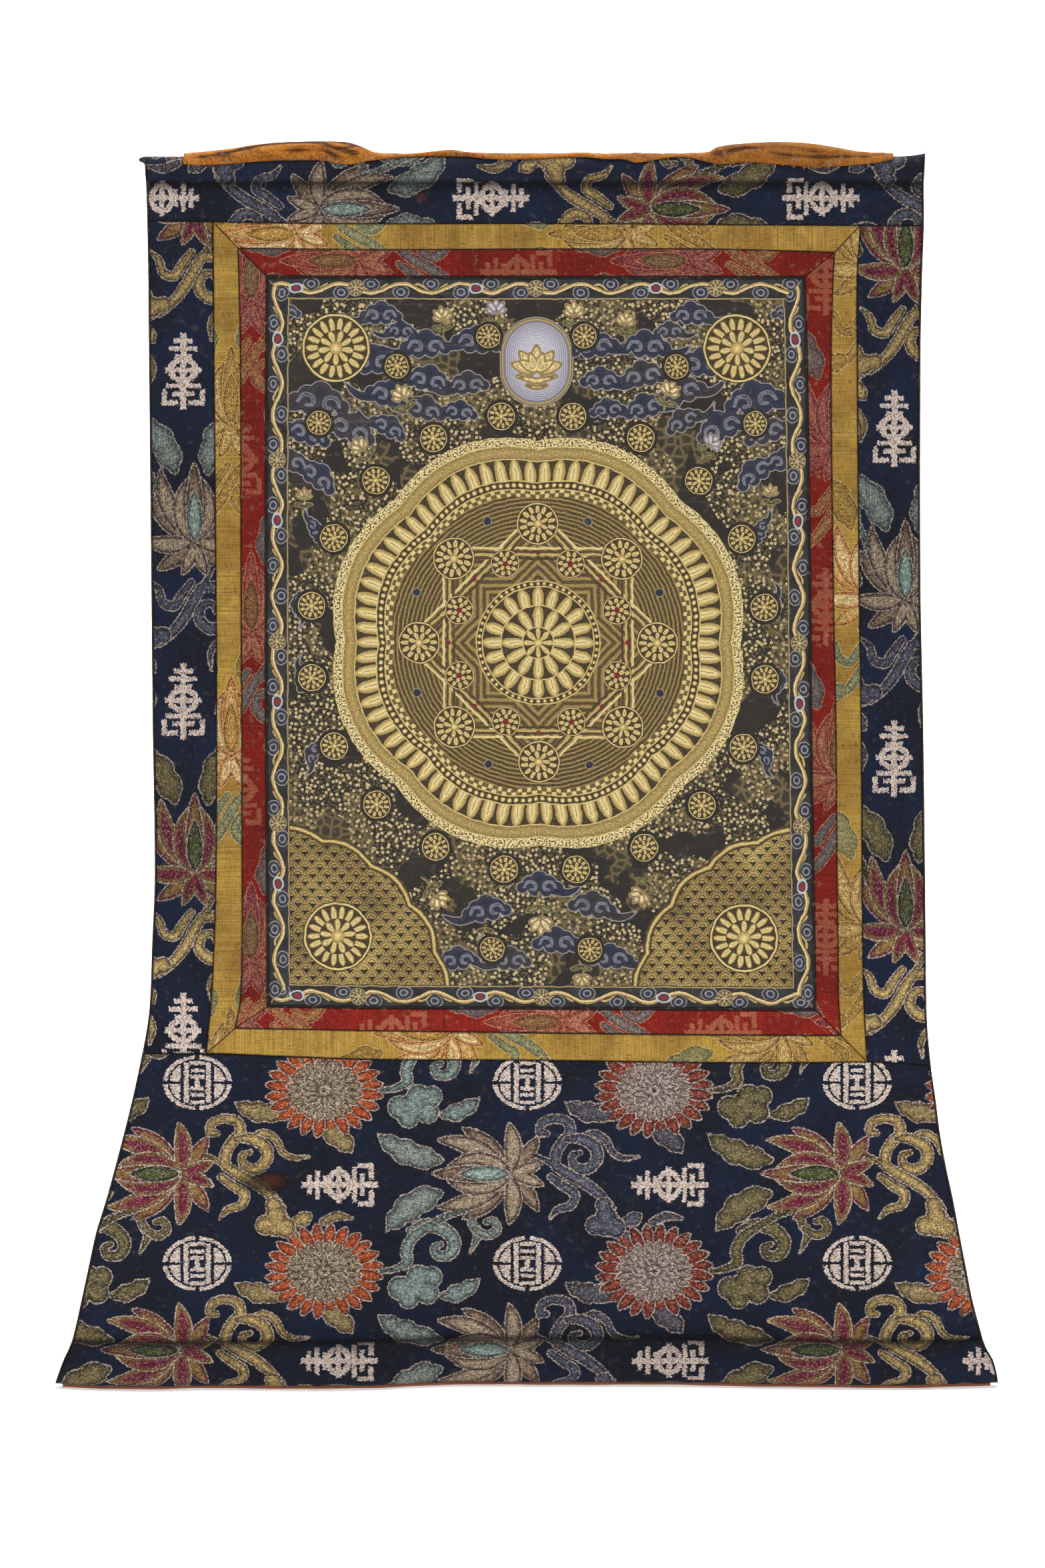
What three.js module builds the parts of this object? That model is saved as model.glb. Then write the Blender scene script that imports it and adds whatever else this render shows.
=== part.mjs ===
// A hanging scroll painting: a painted canvas framed by red and yellow silk strips, mounted on navy
// brocade with a round hem at its top, a flared lower panel with a round hem at its foot, and a silk
// veil bunched along the top. Millimetres, +Z up. The cloth hangs in the XZ plane and its face looks
// towards -Y. The origin is the middle of the top edge.
import * as THREE from "three";

// Driving dimensions
const brocadeThick = 2;
const stripThick = 2;
const canvasThick = 1.6;
const pipingWide = 1.8;
const pipingThick = 2.8;
const bindingWide = 1.6;
const bindingProud = 0.3; // how far the binding stands out over the brocade, front and back
const seamGap = 0.3;
const topHem = { tall: 23.5, deep: 14 };
const footHem = { tall: 39, deep: 26 };
const hemTip = 1.2; // the thickness left where a hem turns at its outer edge
const footLining = { tall: 3, thick: 1.4, endInset: 6 };
const cornerHorn = { out: 5.5, below: 3, spread: 2.4 }; // the frayed tip at the top left corner

// A table's rows with its column names, which the wide tables give once. A short row ends early
const table = (columns, rows) => rows.map((row) => {
  const named = row.map((value, i) => [columns[i], value]);
  return Object.fromEntries(named);
});

// Lengthwise lines, left and right: at each height, the place of the cloth's edge, of the yellow
// strip's outer seam, of the seam between yellow and red, and of the painting's edge. Only the edge
// goes on down the flared panel
const linesDown = table(["z", "edgeL", "edgeR", "yellowL", "redL", "paintL", "paintR", "redR", "yellowR"], [
  [4, -348.5, 347.6, -287.4, -266, -239.2, 238, 268, 291],
  [-24, -346.9, 346.4, -287.3, -266, -239.2, 238.5, 268, 290.6],
  [-58, -345.9, 346.6, -287.2, -265.6, -239.3, 239.2, 268, 290.1],
  [-107, -345.0, 344.9, -286.7, -264.0, -239.4, 240.4, 265.5, 286.9],
  [-181, -344.3, 343.5, -286.3, -262.5, -240.0, 242.5, 263.7, 287.0],
  [-377, -342.3, 343.5, -284.5, -262.0, -240.5, 245.4, 265.5, 288.7],
  [-508, -341.0, 346.0, -283.9, -261.4, -240.3, 246.4, 267.9, 290.5],
  [-639, -339.2, 347.6, -284.5, -261.1, -239.4, 248.3, 269.0, 291.4],
  [-704, -341.6, 348.2, -286.3, -261.0, -239.0, 249.4, 269.8, 291.9],
  [-751, -343.3, 348.7, -288.7, -262.5, -238.8, 250.0, 270.3, 292.8],
  [-776, -346.0, 349.6, -291.0, -267.0, -238.7, 250.2, 272.0, 294.0],
  [-811, -352.8, 352.8, -294.2, -270.0, -238.6, 250.4, 273.5, 296.4],
  [-841, -359.4, 357.0],
  [-870, -366.5, 360.6],
  [-900, -374.2, 365.9],
  [-930, -382.5, 372.4],
  [-959, -391.4, 377.8],
  [-989, -398.0, 383.7],
  [-1019, -404.5, 389.7],
  [-1048, -411.0, 397.4],
  [-1060, -414.6, 401.0],
  [-1072, -420.0, 407.5],
  [-1099, -430.0, 414.0],
]);

// Crosswise lines: at each place from left to right, the height of the top edge, of the top strip's
// lower seam, of the seam between yellow and red, and of the painting's edge, then the same for the
// lower side down to the seam above the flared panel
const linesAcross = table(["x", "top", "strip", "redTop", "paintTop", "paintFoot", "redFoot", "panel"], [
  [-350, 0, -57.3, -81.0, -106.4, -757.0, -775.5, -799.4],
  [-287, 0, -58.2, -81.3, -106.5, -757.2, -776.0, -799.0],
  [-240, 0, -59.2, -82.0, -106.5, -757.4, -777.0, -801.0],
  [-145, 0, -60.0, -83.1, -106.8, -758.8, -778.7, -804.3],
  [0, 0, -59.7, -82.5, -106.9, -759.4, -780.7, -805.0],
  [145, 0, -60.6, -82.4, -107.0, -760.1, -782.4, -807.0],
  [245, 0, -61.2, -84.7, -107.0, -760.6, -783.0, -807.2],
  [293, 0, -61.6, -86.8, -107.0, -760.6, -783.0, -806.8],
  [332, 0.6, -61.7, -88.0, -107.0, -760.6, -783.0, -808.0],
  [350, 3.2, -61.8, -88.0, -107.0, -760.6, -783.0, -809.4],
]);

// The foot edge hangs a little unevenly
const footLine = [
  { x: -430, z: -1096.0 },
  { x: -395, z: -1097.8 },
  { x: -340, z: -1098.6 },
  { x: -290, z: -1097.2 },
  { x: -200, z: -1098.2 },
  { x: -140, z: -1097.4 },
  { x: -85, z: -1094.8 },
  { x: 0, z: -1094.3 },
  { x: 120, z: -1094.6 },
  { x: 212, z: -1096.4 },
  { x: 330, z: -1097.0 },
  { x: 414, z: -1095.2 },
];

// Soft swells and hollows of the hanging cloth: centre, reach to each side, and how far it stands out
const swells = [
  { x: 0, z: -420, wide: 210, tall: 260, out: -2.0 },
  { x: -312, z: -300, wide: 26, tall: 150, out: 1.4 },
  { x: -312, z: -640, wide: 26, tall: 90, out: -1.2 },
  { x: 318, z: -180, wide: 24, tall: 90, out: 1.2 },
  { x: 318, z: -560, wide: 24, tall: 170, out: -1.5 },
  { x: -275, z: -775, wide: 30, tall: 22, out: 1.6 },
  { x: 285, z: -905, wide: 34, tall: 105, out: -5.0 },
  { x: 350, z: -930, wide: 26, tall: 100, out: 3.4 },
  { x: -335, z: -950, wide: 55, tall: 80, out: 2.8 },
  { x: -215, z: -900, wide: 50, tall: 90, out: -2.0 },
  { x: 60, z: -880, wide: 150, tall: 50, out: 1.8 },
  { x: -60, z: -1010, wide: 120, tall: 24, out: 2.2 },
  { x: 190, z: -1005, wide: 70, tall: 22, out: 1.4 },
  { x: -170, z: -27, wide: 9, tall: 13, out: -2.4 },
  { x: 175, z: -27, wide: 8, tall: 15, out: -2.6 },
];

// The veil's bunched silk: at each place the height of its top and of its front lip, how deep the
// bunch is behind the front of the hem, and how low its back lip hangs
const veilSections = [
  { x: -313, top: 2.0, lip: -8.0, deep: 2.2, back: -9 },
  { x: -300, top: 4.0, lip: -8.8, deep: 3.0, back: -12 },
  { x: -272, top: 7.2, lip: -7.7, deep: 4.2, back: -15 },
  { x: -249, top: 10.8, lip: -5.6, deep: 5.4, back: -16 },
  { x: -225, top: 12.8, lip: -4.4, deep: 6.4, back: -17 },
  { x: -190, top: 13.8, lip: -4.6, deep: 6.8, back: -18 },
  { x: -178, top: 13.5, lip: -6.8, deep: 6.6, back: -18 },
  { x: -165, top: 12.4, lip: -8.2, deep: 6.0, back: -17 },
  { x: -154, top: 8.8, lip: -6.0, deep: 4.6, back: -16 },
  { x: -143, top: 4.0, lip: -4.2, deep: 3.0, back: -14 },
  { x: -130, top: 2.6, lip: -2.4, deep: 2.4, back: -12 },
  { x: -105, top: 3.4, lip: -0.6, deep: 2.2, back: -10 },
  { x: -75, top: 6.2, lip: -0.4, deep: 2.6, back: -10 },
  { x: -60, top: 4.2, lip: -1.0, deep: 2.4, back: -11 },
  { x: -30, top: 3.0, lip: -3.6, deep: 2.4, back: -12 },
  { x: 15, top: 2.8, lip: -2.0, deep: 2.4, back: -11 },
  { x: 45, top: 3.8, lip: -1.2, deep: 2.6, back: -10 },
  { x: 62, top: 1.8, lip: -3.2, deep: 2.2, back: -11 },
  { x: 78, top: 2.8, lip: -3.4, deep: 2.4, back: -12 },
  { x: 90, top: 1.6, lip: -6.4, deep: 2.6, back: -12 },
  { x: 108, top: 1.6, lip: -3.6, deep: 2.2, back: -11 },
  { x: 130, top: 3.0, lip: -1.2, deep: 2.4, back: -12 },
  { x: 152, top: 3.2, lip: -5.6, deep: 3.2, back: -14 },
  { x: 163, top: 8.8, lip: -8.0, deep: 4.6, back: -16 },
  { x: 188, top: 12.0, lip: -6.0, deep: 6.0, back: -17 },
  { x: 221, top: 13.2, lip: -8.6, deep: 6.6, back: -18 },
  { x: 247, top: 11.6, lip: -10.6, deep: 6.0, back: -17 },
  { x: 270, top: 8.0, lip: -9.8, deep: 4.8, back: -16 },
  { x: 300, top: 2.6, lip: -7.0, deep: 3.0, back: -13 },
  { x: 319, top: 1.6, lip: -3.4, deep: 2.2, back: -9 },
];
const veilGap = 0.9;
const veilLipThick = 1.4;

// Folds that run along the veil's bunch: from and to, with the share of the way over it from the
// front lip (0) to the back lip (1) at each end, the fold's reach over the bunch, and its height
const veilFolds = [
  { fromX: -300, toX: -150, fromOver: 0.12, toOver: 0.1, wide: 0.05, high: 1.3 },
  { fromX: -290, toX: -160, fromOver: 0.2, toOver: 0.2, wide: 0.04, high: -1.5 },
  { fromX: -270, toX: -165, fromOver: 0.3, toOver: 0.24, wide: 0.05, high: 1.2 },
  { fromX: -215, toX: -150, fromOver: 0.4, toOver: 0.3, wide: 0.04, high: -1.2 },
  { fromX: 150, toX: 305, fromOver: 0.16, toOver: 0.1, wide: 0.05, high: 1.3 },
  { fromX: 160, toX: 300, fromOver: 0.24, toOver: 0.2, wide: 0.04, high: -1.4 },
  { fromX: 165, toX: 290, fromOver: 0.34, toOver: 0.28, wide: 0.06, high: 1.1 },
  { fromX: -230, toX: -160, fromOver: 0.66, toOver: 0.6, wide: 0.07, high: -1.2 },
  { fromX: 175, toX: 280, fromOver: 0.62, toOver: 0.66, wide: 0.07, high: -1.2 },
];

// How finely each piece is divided
const steps = {
  canvasAcross: 12,
  canvasDown: 16,
  stripAlong: 28,
  sideAcross: 3,
  clothAcross: 42,
  hem: 7,
  veilAlong: 66,
  veilOver: 8,
};

// Finishes
const finish = {
  canvas: new THREE.MeshStandardMaterial({ color: 0x4a4030, roughness: 0.8, metalness: 0.05 }),
  redSilk: new THREE.MeshStandardMaterial({ color: 0x8c1c1c, roughness: 0.62, metalness: 0 }),
  yellowSilk: new THREE.MeshStandardMaterial({ color: 0xb8942e, roughness: 0.6, metalness: 0 }),
  brocade: new THREE.MeshStandardMaterial({ color: 0x141c38, roughness: 0.6, metalness: 0.05 }),
  darkThread: new THREE.MeshStandardMaterial({ color: 0x17120f, roughness: 0.85, metalness: 0 }),
  lining: new THREE.MeshStandardMaterial({ color: 0xc87850, roughness: 0.8, metalness: 0 }),
  veilSilk: new THREE.MeshStandardMaterial({ color: 0xb4701c, roughness: 0.65, metalness: 0 }),
};

// A smooth value between a table's rows: cubic, with each row's slope taken from its neighbours
function along(table, key, name, at) {
  const rows = table.filter((row) => row[name] !== undefined);
  rows.sort((a, b) => a[key] - b[key]);
  const last = rows.length - 1;
  const place = Math.min(Math.max(at, rows[0][key]), rows[last][key]);
  let i = 0;
  while (i < last - 1 && place > rows[i + 1][key]) i += 1;
  const slope = (j) => {
    const lower = rows[Math.max(j - 1, 0)];
    const upper = rows[Math.min(j + 1, last)];
    return (upper[name] - lower[name]) / (upper[key] - lower[key]);
  };
  const wide = rows[i + 1][key] - rows[i][key];
  const t = (place - rows[i][key]) / wide;
  const rise = rows[i + 1][name] - rows[i][name];
  const start = slope(i) * wide - rise;
  const end = rise - slope(i + 1) * wide;
  return rows[i][name] + t * rise + t * (1 - t) * (start * (1 - t) + end * t);
}

const downLine = (name) => (z) => along(linesDown, "z", name, z);
const acrossLine = (name) => (x) => along(linesAcross, "x", name, x);
const footAt = (x) => along(footLine, "x", "z", x);
const mix = (a, b, t) => a + (b - a) * t;

// Where a lengthwise and a crosswise line meet
function crossing(down, across) {
  let z = across(0);
  for (let i = 0; i < 6; i += 1) z = across(down(z));
  return { x: down(z), z };
}

// The depth of the hanging cloth's middle: the swells added up, with a slow ripple near the foot
function clothDepth(x, z) {
  const bump = (s) => s.out * Math.exp(-(((x - s.x) / s.wide) ** 2) - ((z - s.z) / s.tall) ** 2);
  const lowness = THREE.MathUtils.smoothstep(-z, 760, 1060);
  const ripple = 1.3 * lowness * Math.sin(x / 47 + 0.8);
  return -swells.reduce((sum, s) => sum + bump(s), 0) - ripple;
}

// One closed body from rings of equally many points: each ring runs along the front and comes back
// along the behind, so that its ends are closed by strips between the two
function ringBody(name, material, rings) {
  const size = rings[0].length;
  const positions = rings.flat(2);
  const index = [];
  for (let r = 0; r + 1 < rings.length; r += 1) {
    for (let i = 0; i < size; i += 1) {
      const a = r * size + i;
      const b = r * size + ((i + 1) % size);
      index.push(a, b, a + size, b, b + size, a + size);
    }
  }
  const end = (rings.length - 1) * size;
  for (let i = 0; i + 1 < size / 2; i += 1) {
    const j = size - 1 - i;
    index.push(i, j, i + 1, i + 1, j, j - 1);
    index.push(end + i, end + i + 1, end + j, end + i + 1, end + j - 1, end + j);
  }
  const corner = (n) => new THREE.Vector3().fromArray(positions, 3 * n);
  let volume = 0;
  for (let t = 0; t < index.length; t += 3) {
    volume += corner(index[t]).dot(corner(index[t + 1]).cross(corner(index[t + 2])));
  }
  if (volume < 0) index.reverse();
  const geometry = new THREE.BufferGeometry();
  geometry.setAttribute("position", new THREE.Float32BufferAttribute(positions, 3));
  geometry.setIndex(index);
  geometry.computeVertexNormals();
  const mesh = new THREE.Mesh(geometry, material);
  mesh.name = name;
  return mesh;
}

// A ring across a sheet at one height or place: the front from one side to the other, then the back
function sheetRing(count, pointAt, frontDepth, backDepth) {
  const places = Array.from({ length: count + 1 }, (_, i) => pointAt(i / count));
  const front = places.map(({ x, z }) => [x, clothDepth(x, z) + frontDepth, z]);
  const back = places.map(({ x, z }) => [x, clothDepth(x, z) + backDepth, z]);
  return [...front, ...back.reverse()];
}

// A sheet between two lines that each run from a start to an end, such as a mitred strip
function stripBody(name, material, thick, outer, inner) {
  const rings = Array.from({ length: steps.stripAlong + 1 }, (_, i) => {
    const a = outer(i / steps.stripAlong);
    const b = inner(i / steps.stripAlong);
    const between = (v) => ({ x: mix(a.x, b.x, v), z: mix(a.z, b.z, v) });
    return sheetRing(1, between, -thick / 2, thick / 2);
  });
  return ringBody(name, material, rings);
}

// The run of a strip's edge between two corners, kept half a seam gap inside its own line. shift
// moves it towards the strip, and trim shortens both ends along the mitre
const acrossRun = (line, from, to, shift, trim) => (u) => {
  const x = mix(from.x + trim, to.x - trim, u);
  return { x, z: line(x) + shift };
};
const downRun = (line, from, to, shift, trim) => (u) => {
  const z = mix(from.z - trim, to.z + trim, u);
  return { x: line(z) + shift, z };
};

// The heights of a hem's rows, from its crease to its outer edge, with the hem's half depth at each
function hemRows(crease, edge, deep) {
  return Array.from({ length: steps.hem + 1 }, (_, i) => {
    const angle = (Math.PI * i) / steps.hem;
    const z = mix(crease, edge, (1 - Math.cos(angle)) / 2);
    const round = Math.max((deep / 2) * Math.sin(angle), hemTip / 2);
    return { z, half: i === 0 ? brocadeThick / 2 : round };
  });
}

const lines = {
  edgeL: downLine("edgeL"),
  yellowL: downLine("yellowL"),
  redL: downLine("redL"),
  paintL: downLine("paintL"),
  edgeR: downLine("edgeR"),
  yellowR: downLine("yellowR"),
  redR: downLine("redR"),
  paintR: downLine("paintR"),
  top: acrossLine("top"),
  strip: acrossLine("strip"),
  redTop: acrossLine("redTop"),
  paintTop: acrossLine("paintTop"),
  paintFoot: acrossLine("paintFoot"),
  redFoot: acrossLine("redFoot"),
  panel: acrossLine("panel"),
};
const half = seamGap / 2;
const scroll = new THREE.Group();

// Painting: one canvas inside the piping
const pipe = pipingWide + seamGap;
function paintingBody() {
  const rings = Array.from({ length: steps.canvasDown + 1 }, (_, i) => {
    const v = i / steps.canvasDown;
    const heightAt = (x) => mix(lines.paintTop(x) - half - pipe, lines.paintFoot(x) + half + pipe, v);
    const middle = heightAt(0);
    const left = lines.paintL(middle) + half + pipe;
    const right = lines.paintR(middle) - half - pipe;
    const pointAt = (u) => ({ x: mix(left, right, u), z: heightAt(mix(left, right, u)) });
    return sheetRing(steps.canvasAcross, pointAt, -canvasThick / 2, canvasThick / 2);
  });
  return ringBody("painting", finish.canvas, rings);
}
scroll.add(paintingBody());

// Piping, the dark cord-like edge sewn round the painting, and the mitred red and yellow strips.
// Each frame has four sides between its outer and its inner corners
function frameSides(prefix, material, thick, outer, inner) {
  const corner = (frame) => ({
    tl: crossing(frame.left, frame.top),
    tr: crossing(frame.right, frame.top),
    bl: crossing(frame.left, frame.foot),
    br: crossing(frame.right, frame.foot),
  });
  const o = corner(outer);
  const i = corner(inner);
  const trim = seamGap * 0.75;
  const sides = [
    { side: "top", run: acrossRun, o: outer.top, i: inner.top, a: "tl", b: "tr", shift: -half },
    { side: "foot", run: acrossRun, o: outer.foot, i: inner.foot, a: "bl", b: "br", shift: half },
    { side: "left", run: downRun, o: outer.left, i: inner.left, a: "tl", b: "bl", shift: half },
    { side: "right", run: downRun, o: outer.right, i: inner.right, a: "tr", b: "br", shift: -half },
  ];
  for (const s of sides) {
    const outerRun = s.run(s.o, o[s.a], o[s.b], s.shift, trim);
    const innerRun = s.run(s.i, i[s.a], i[s.b], -s.shift, trim);
    scroll.add(stripBody(`${prefix}_${s.side}`, material, thick, outerRun, innerRun));
  }
}
const moved = (line, by) => (at) => line(at) + by;
const yellowFrame = { left: lines.yellowL, right: lines.yellowR, top: lines.strip, foot: lines.panel };
const redFrame = { left: lines.redL, right: lines.redR, top: lines.redTop, foot: lines.redFoot };
const paintFrame = { left: lines.paintL, right: lines.paintR, top: lines.paintTop, foot: lines.paintFoot };
const insidePiping = {
  left: moved(lines.paintL, pipe),
  right: moved(lines.paintR, -pipe),
  top: moved(lines.paintTop, -pipe),
  foot: moved(lines.paintFoot, pipe),
};
frameSides("piping", finish.darkThread, pipingThick, paintFrame, insidePiping);
frameSides("red", finish.redSilk, stripThick, redFrame, paintFrame);
frameSides("yellow", finish.yellowSilk, stripThick, yellowFrame, redFrame);

// Brocade: a top strip with its round hem, two side strips, and the flared panel with its round hem.
// The rows that cross the whole cloth are shared with the bindings, so that their edges run together
const bound = bindingWide + seamGap;
const topFlatRows = [0.25, 0.5, 0.75, 1];
const footFlatRows = [0, 0.15, 0.3, 0.45, 0.6, 0.75, 0.88];
const topHemRows = hemRows(-topHem.tall, 0, topHem.deep).reverse();
const footHemRows = hemRows(0, -footHem.tall, footHem.deep);
const topHemAt = (row) => (x) => row.z + lines.top(x) * (row.z / topHem.tall + 1);
const topFlatAt = (v) => (x) => mix(-topHem.tall, lines.strip(x) + half, v);
const creaseAt = (x) => footAt(x) + footLining.tall + seamGap + footHem.tall;
const footFlatAt = (v) => (x) => mix(lines.panel(x) - half, creaseAt(x), v);
const footHemAt = (row) => (x) => creaseAt(x) + row.z;
const sideAt = (v) => (x) => mix(lines.strip(x) - half, lines.panel(x) + half, v);

// One row of a hemmed strip, from the left binding to the right one
function fullRing(heightAt, halfDeep) {
  const left = crossing(lines.edgeL, heightAt).x + bound;
  const right = crossing(lines.edgeR, heightAt).x - bound;
  const pointAt = (u) => ({ x: mix(left, right, u), z: heightAt(mix(left, right, u)) });
  return sheetRing(steps.clothAcross, pointAt, -halfDeep, halfDeep);
}

function topStripBody() {
  const rings = topHemRows.map((row) => fullRing(topHemAt(row), row.half));
  rings.push(...topFlatRows.map((v) => fullRing(topFlatAt(v), brocadeThick / 2)));
  return ringBody("brocade_top", finish.brocade, rings);
}

function footPanelBody() {
  const rings = footFlatRows.map((v) => fullRing(footFlatAt(v), brocadeThick / 2));
  rings.push(...footHemRows.map((row) => fullRing(footHemAt(row), row.half)));
  return ringBody("brocade_foot", finish.brocade, rings);
}

function sideStripBody(name, outerLine, innerLine, outwards) {
  const rings = Array.from({ length: steps.stripAlong + 1 }, (_, i) => {
    const heightAt = sideAt(i / steps.stripAlong);
    const outer = crossing(outerLine, heightAt).x - outwards * bound;
    const inner = crossing(innerLine, heightAt).x + outwards * half;
    const pointAt = (u) => ({ x: mix(outer, inner, u), z: heightAt(mix(outer, inner, u)) });
    return sheetRing(steps.sideAcross, pointAt, -brocadeThick / 2, brocadeThick / 2);
  });
  return ringBody(name, finish.brocade, rings);
}
scroll.add(topStripBody());
scroll.add(sideStripBody("brocade_left", lines.edgeL, lines.yellowL, -1));
scroll.add(sideStripBody("brocade_right", lines.edgeR, lines.yellowR, 1));
scroll.add(footPanelBody());

// Bindings: the dark overcast edge down each side, which also closes the ends of the two hems
function bindingBody(name, line, outwards) {
  const flat = (heightAt) => ({ heightAt, half: brocadeThick / 2 });
  const rows = [
    ...topHemRows.map((row) => ({ heightAt: topHemAt(row), half: row.half })),
    ...topFlatRows.slice(0, -1).map((v) => flat(topFlatAt(v))),
    ...Array.from({ length: steps.stripAlong + 1 }, (_, i) => flat(sideAt(i / steps.stripAlong))),
    ...footFlatRows.slice(1).map((v) => flat(footFlatAt(v))),
    ...footHemRows.map((row) => ({ heightAt: footHemAt(row), half: row.half })),
  ];
  const rings = rows.map(({ heightAt, half: deep }) => {
    const { x, z } = crossing(line, heightAt);
    const horn = outwards < 0 ? Math.exp(-(((z + cornerHorn.below) / cornerHorn.spread) ** 2)) : 0;
    const outer = x + outwards * cornerHorn.out * horn;
    const inner = x - outwards * bindingWide;
    const halfHere = deep + bindingProud;
    return sheetRing(1, (u) => ({ x: mix(outer, inner, u), z }), -halfHere, halfHere);
  });
  return ringBody(name, finish.darkThread, rings);
}
scroll.add(bindingBody("binding_left", lines.edgeL, -1));
scroll.add(bindingBody("binding_right", lines.edgeR, 1));

// Foot lining: the salmon cloth's folded edge that shows under the hem
function footLiningBody() {
  const left = lines.edgeL(-1096) + bound + footLining.endInset;
  const right = lines.edgeR(-1096) - bound - footLining.endInset;
  const rings = Array.from({ length: steps.clothAcross + 1 }, (_, i) => {
    const x = mix(left, right, i / steps.clothAcross);
    const pointAt = (v) => ({ x, z: footAt(x) + mix(footLining.tall, 0, v) });
    return sheetRing(1, pointAt, -footLining.thick / 2, footLining.thick / 2);
  });
  return ringBody("foot_lining", finish.lining, rings);
}
scroll.add(footLiningBody());

// Veil: silk bunched over the top hem. Each section goes over the hem from the front lip to the back
// lip, and its outside carries the long folds
const overHem = { high: topHem.tall / 2 + veilGap, deep: topHem.deep / 2 + veilGap };
function foldHeight(x, over) {
  return veilFolds.reduce((sum, f) => {
    const t = (x - f.fromX) / (f.toX - f.fromX);
    if (t <= 0 || t >= 1) return sum;
    const off = (over - mix(f.fromOver, f.toOver, t)) / f.wide;
    return sum + f.high * Math.sin(Math.PI * t) ** 0.6 * Math.exp(-off * off);
  }, 0);
}
function veilRing(x) {
  const row = (name) => along(veilSections, "x", name, x);
  const rim = lines.top(x);
  const middle = -topHem.tall / 2 + rim;
  const lipAngle = Math.acos((row("lip") - middle) / overHem.high);
  const backAngle = Math.acos((row("back") - middle) / overHem.high);
  const outside = [];
  const inside = [];
  for (let i = 0; i <= steps.veilOver; i += 1) {
    const over = i / steps.veilOver;
    const angle = mix(-lipAngle, backAngle, over);
    const sine = Math.sin(angle);
    const cosine = Math.cos(angle);
    const z = middle + overHem.high * cosine;
    const depth = clothDepth(x, Math.min(z, 0));
    const bulge = Math.sin(Math.PI * over) ** 0.7;
    const thick = veilLipThick + (row("deep") - veilLipThick) * bulge + foldHeight(x, over) * bulge;
    const rise = Math.max(row("top") - rim - veilGap - thick, 0) * Math.max(cosine, 0) ** 1.5;
    inside.push([x, depth + overHem.deep * sine, z]);
    outside.push([x, depth + (overHem.deep + thick) * sine, z + thick * cosine + rise]);
  }
  return [...outside, ...inside.reverse()];
}
const veilFrom = veilSections[0].x;
const veilTo = veilSections[veilSections.length - 1].x;
const veilPlaces = Array.from({ length: steps.veilAlong + 1 }, (_, i) => i / steps.veilAlong);
const veilRings = veilPlaces.map((u) => veilRing(mix(veilFrom, veilTo, u)));
scroll.add(ringBody("veil", finish.veilSilk, veilRings));

export default scroll;
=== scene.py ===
# A hanging scroll painting: a painted canvas in red and yellow silk strips on a navy brocade mount,
# with a round hem at its top and at its foot and a silk veil bunched along the top. Tables are in
# millimetres, +Z up, and the face looks along -Y. Meshes are made in metres.
import bpy
import numpy as np
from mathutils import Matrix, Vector


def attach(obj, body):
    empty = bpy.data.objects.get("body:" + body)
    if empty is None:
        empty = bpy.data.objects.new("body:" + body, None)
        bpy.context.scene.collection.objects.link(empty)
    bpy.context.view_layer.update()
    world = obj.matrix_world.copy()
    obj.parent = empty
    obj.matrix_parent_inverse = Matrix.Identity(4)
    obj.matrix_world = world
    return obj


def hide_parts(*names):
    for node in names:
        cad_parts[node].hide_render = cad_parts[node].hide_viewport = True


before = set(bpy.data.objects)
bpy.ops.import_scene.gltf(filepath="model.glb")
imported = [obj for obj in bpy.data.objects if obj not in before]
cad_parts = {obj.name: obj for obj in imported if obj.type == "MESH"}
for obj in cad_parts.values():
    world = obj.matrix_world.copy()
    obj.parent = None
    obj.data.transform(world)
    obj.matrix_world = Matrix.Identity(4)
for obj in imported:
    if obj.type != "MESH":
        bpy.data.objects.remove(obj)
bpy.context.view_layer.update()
mm = 0.001

# Lengthwise lines: the cloth's two edges, then the seams and the painting's edges, at each height
edgesDown = {
    "z": [-1099, -1072, -1060, -1048, -1019, -989, -959, -930, -900, -870, -841, -811, -776, -751,
          -704, -639, -508, -377, -181, -107, -58, -24, 4],
    "edgeL": [-430, -420, -414.6, -411, -404.5, -398, -391.4, -382.5, -374.2, -366.5, -359.4, -352.8,
              -346, -343.3, -341.6, -339.2, -341, -342.3, -344.3, -345, -345.9, -346.9, -348.5],
    "edgeR": [414, 407.5, 401, 397.4, 389.7, 383.7, 377.8, 372.4, 365.9, 360.6, 357, 352.8, 349.6,
              348.7, 348.2, 347.6, 346, 343.5, 343.5, 344.9, 346.6, 346.4, 347.6],
}
seamsDown = {
    "z": [-811, -776, -751, -704, -639, -508, -377, -181, -107, -58, -24, 4],
    "yellowL": [-294.2, -291, -288.7, -286.3, -284.5, -283.9, -284.5, -286.3, -286.7, -287.2,
                -287.3, -287.4],
    "redL": [-270, -267, -262.5, -261, -261.1, -261.4, -262, -262.5, -264, -265.6, -266, -266],
    "paintL": [-238.6, -238.7, -238.8, -239, -239.4, -240.3, -240.5, -240, -239.4, -239.3, -239.2,
               -239.2],
    "paintR": [250.4, 250.2, 250, 249.4, 248.3, 246.4, 245.4, 242.5, 240.4, 239.2, 238.5, 238],
    "redR": [273.5, 272, 270.3, 269.8, 269, 267.9, 265.5, 263.7, 265.5, 268, 268, 268],
    "yellowR": [296.4, 294, 292.8, 291.9, 291.4, 290.5, 288.7, 287, 286.9, 290.1, 290.6, 291],
}
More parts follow.
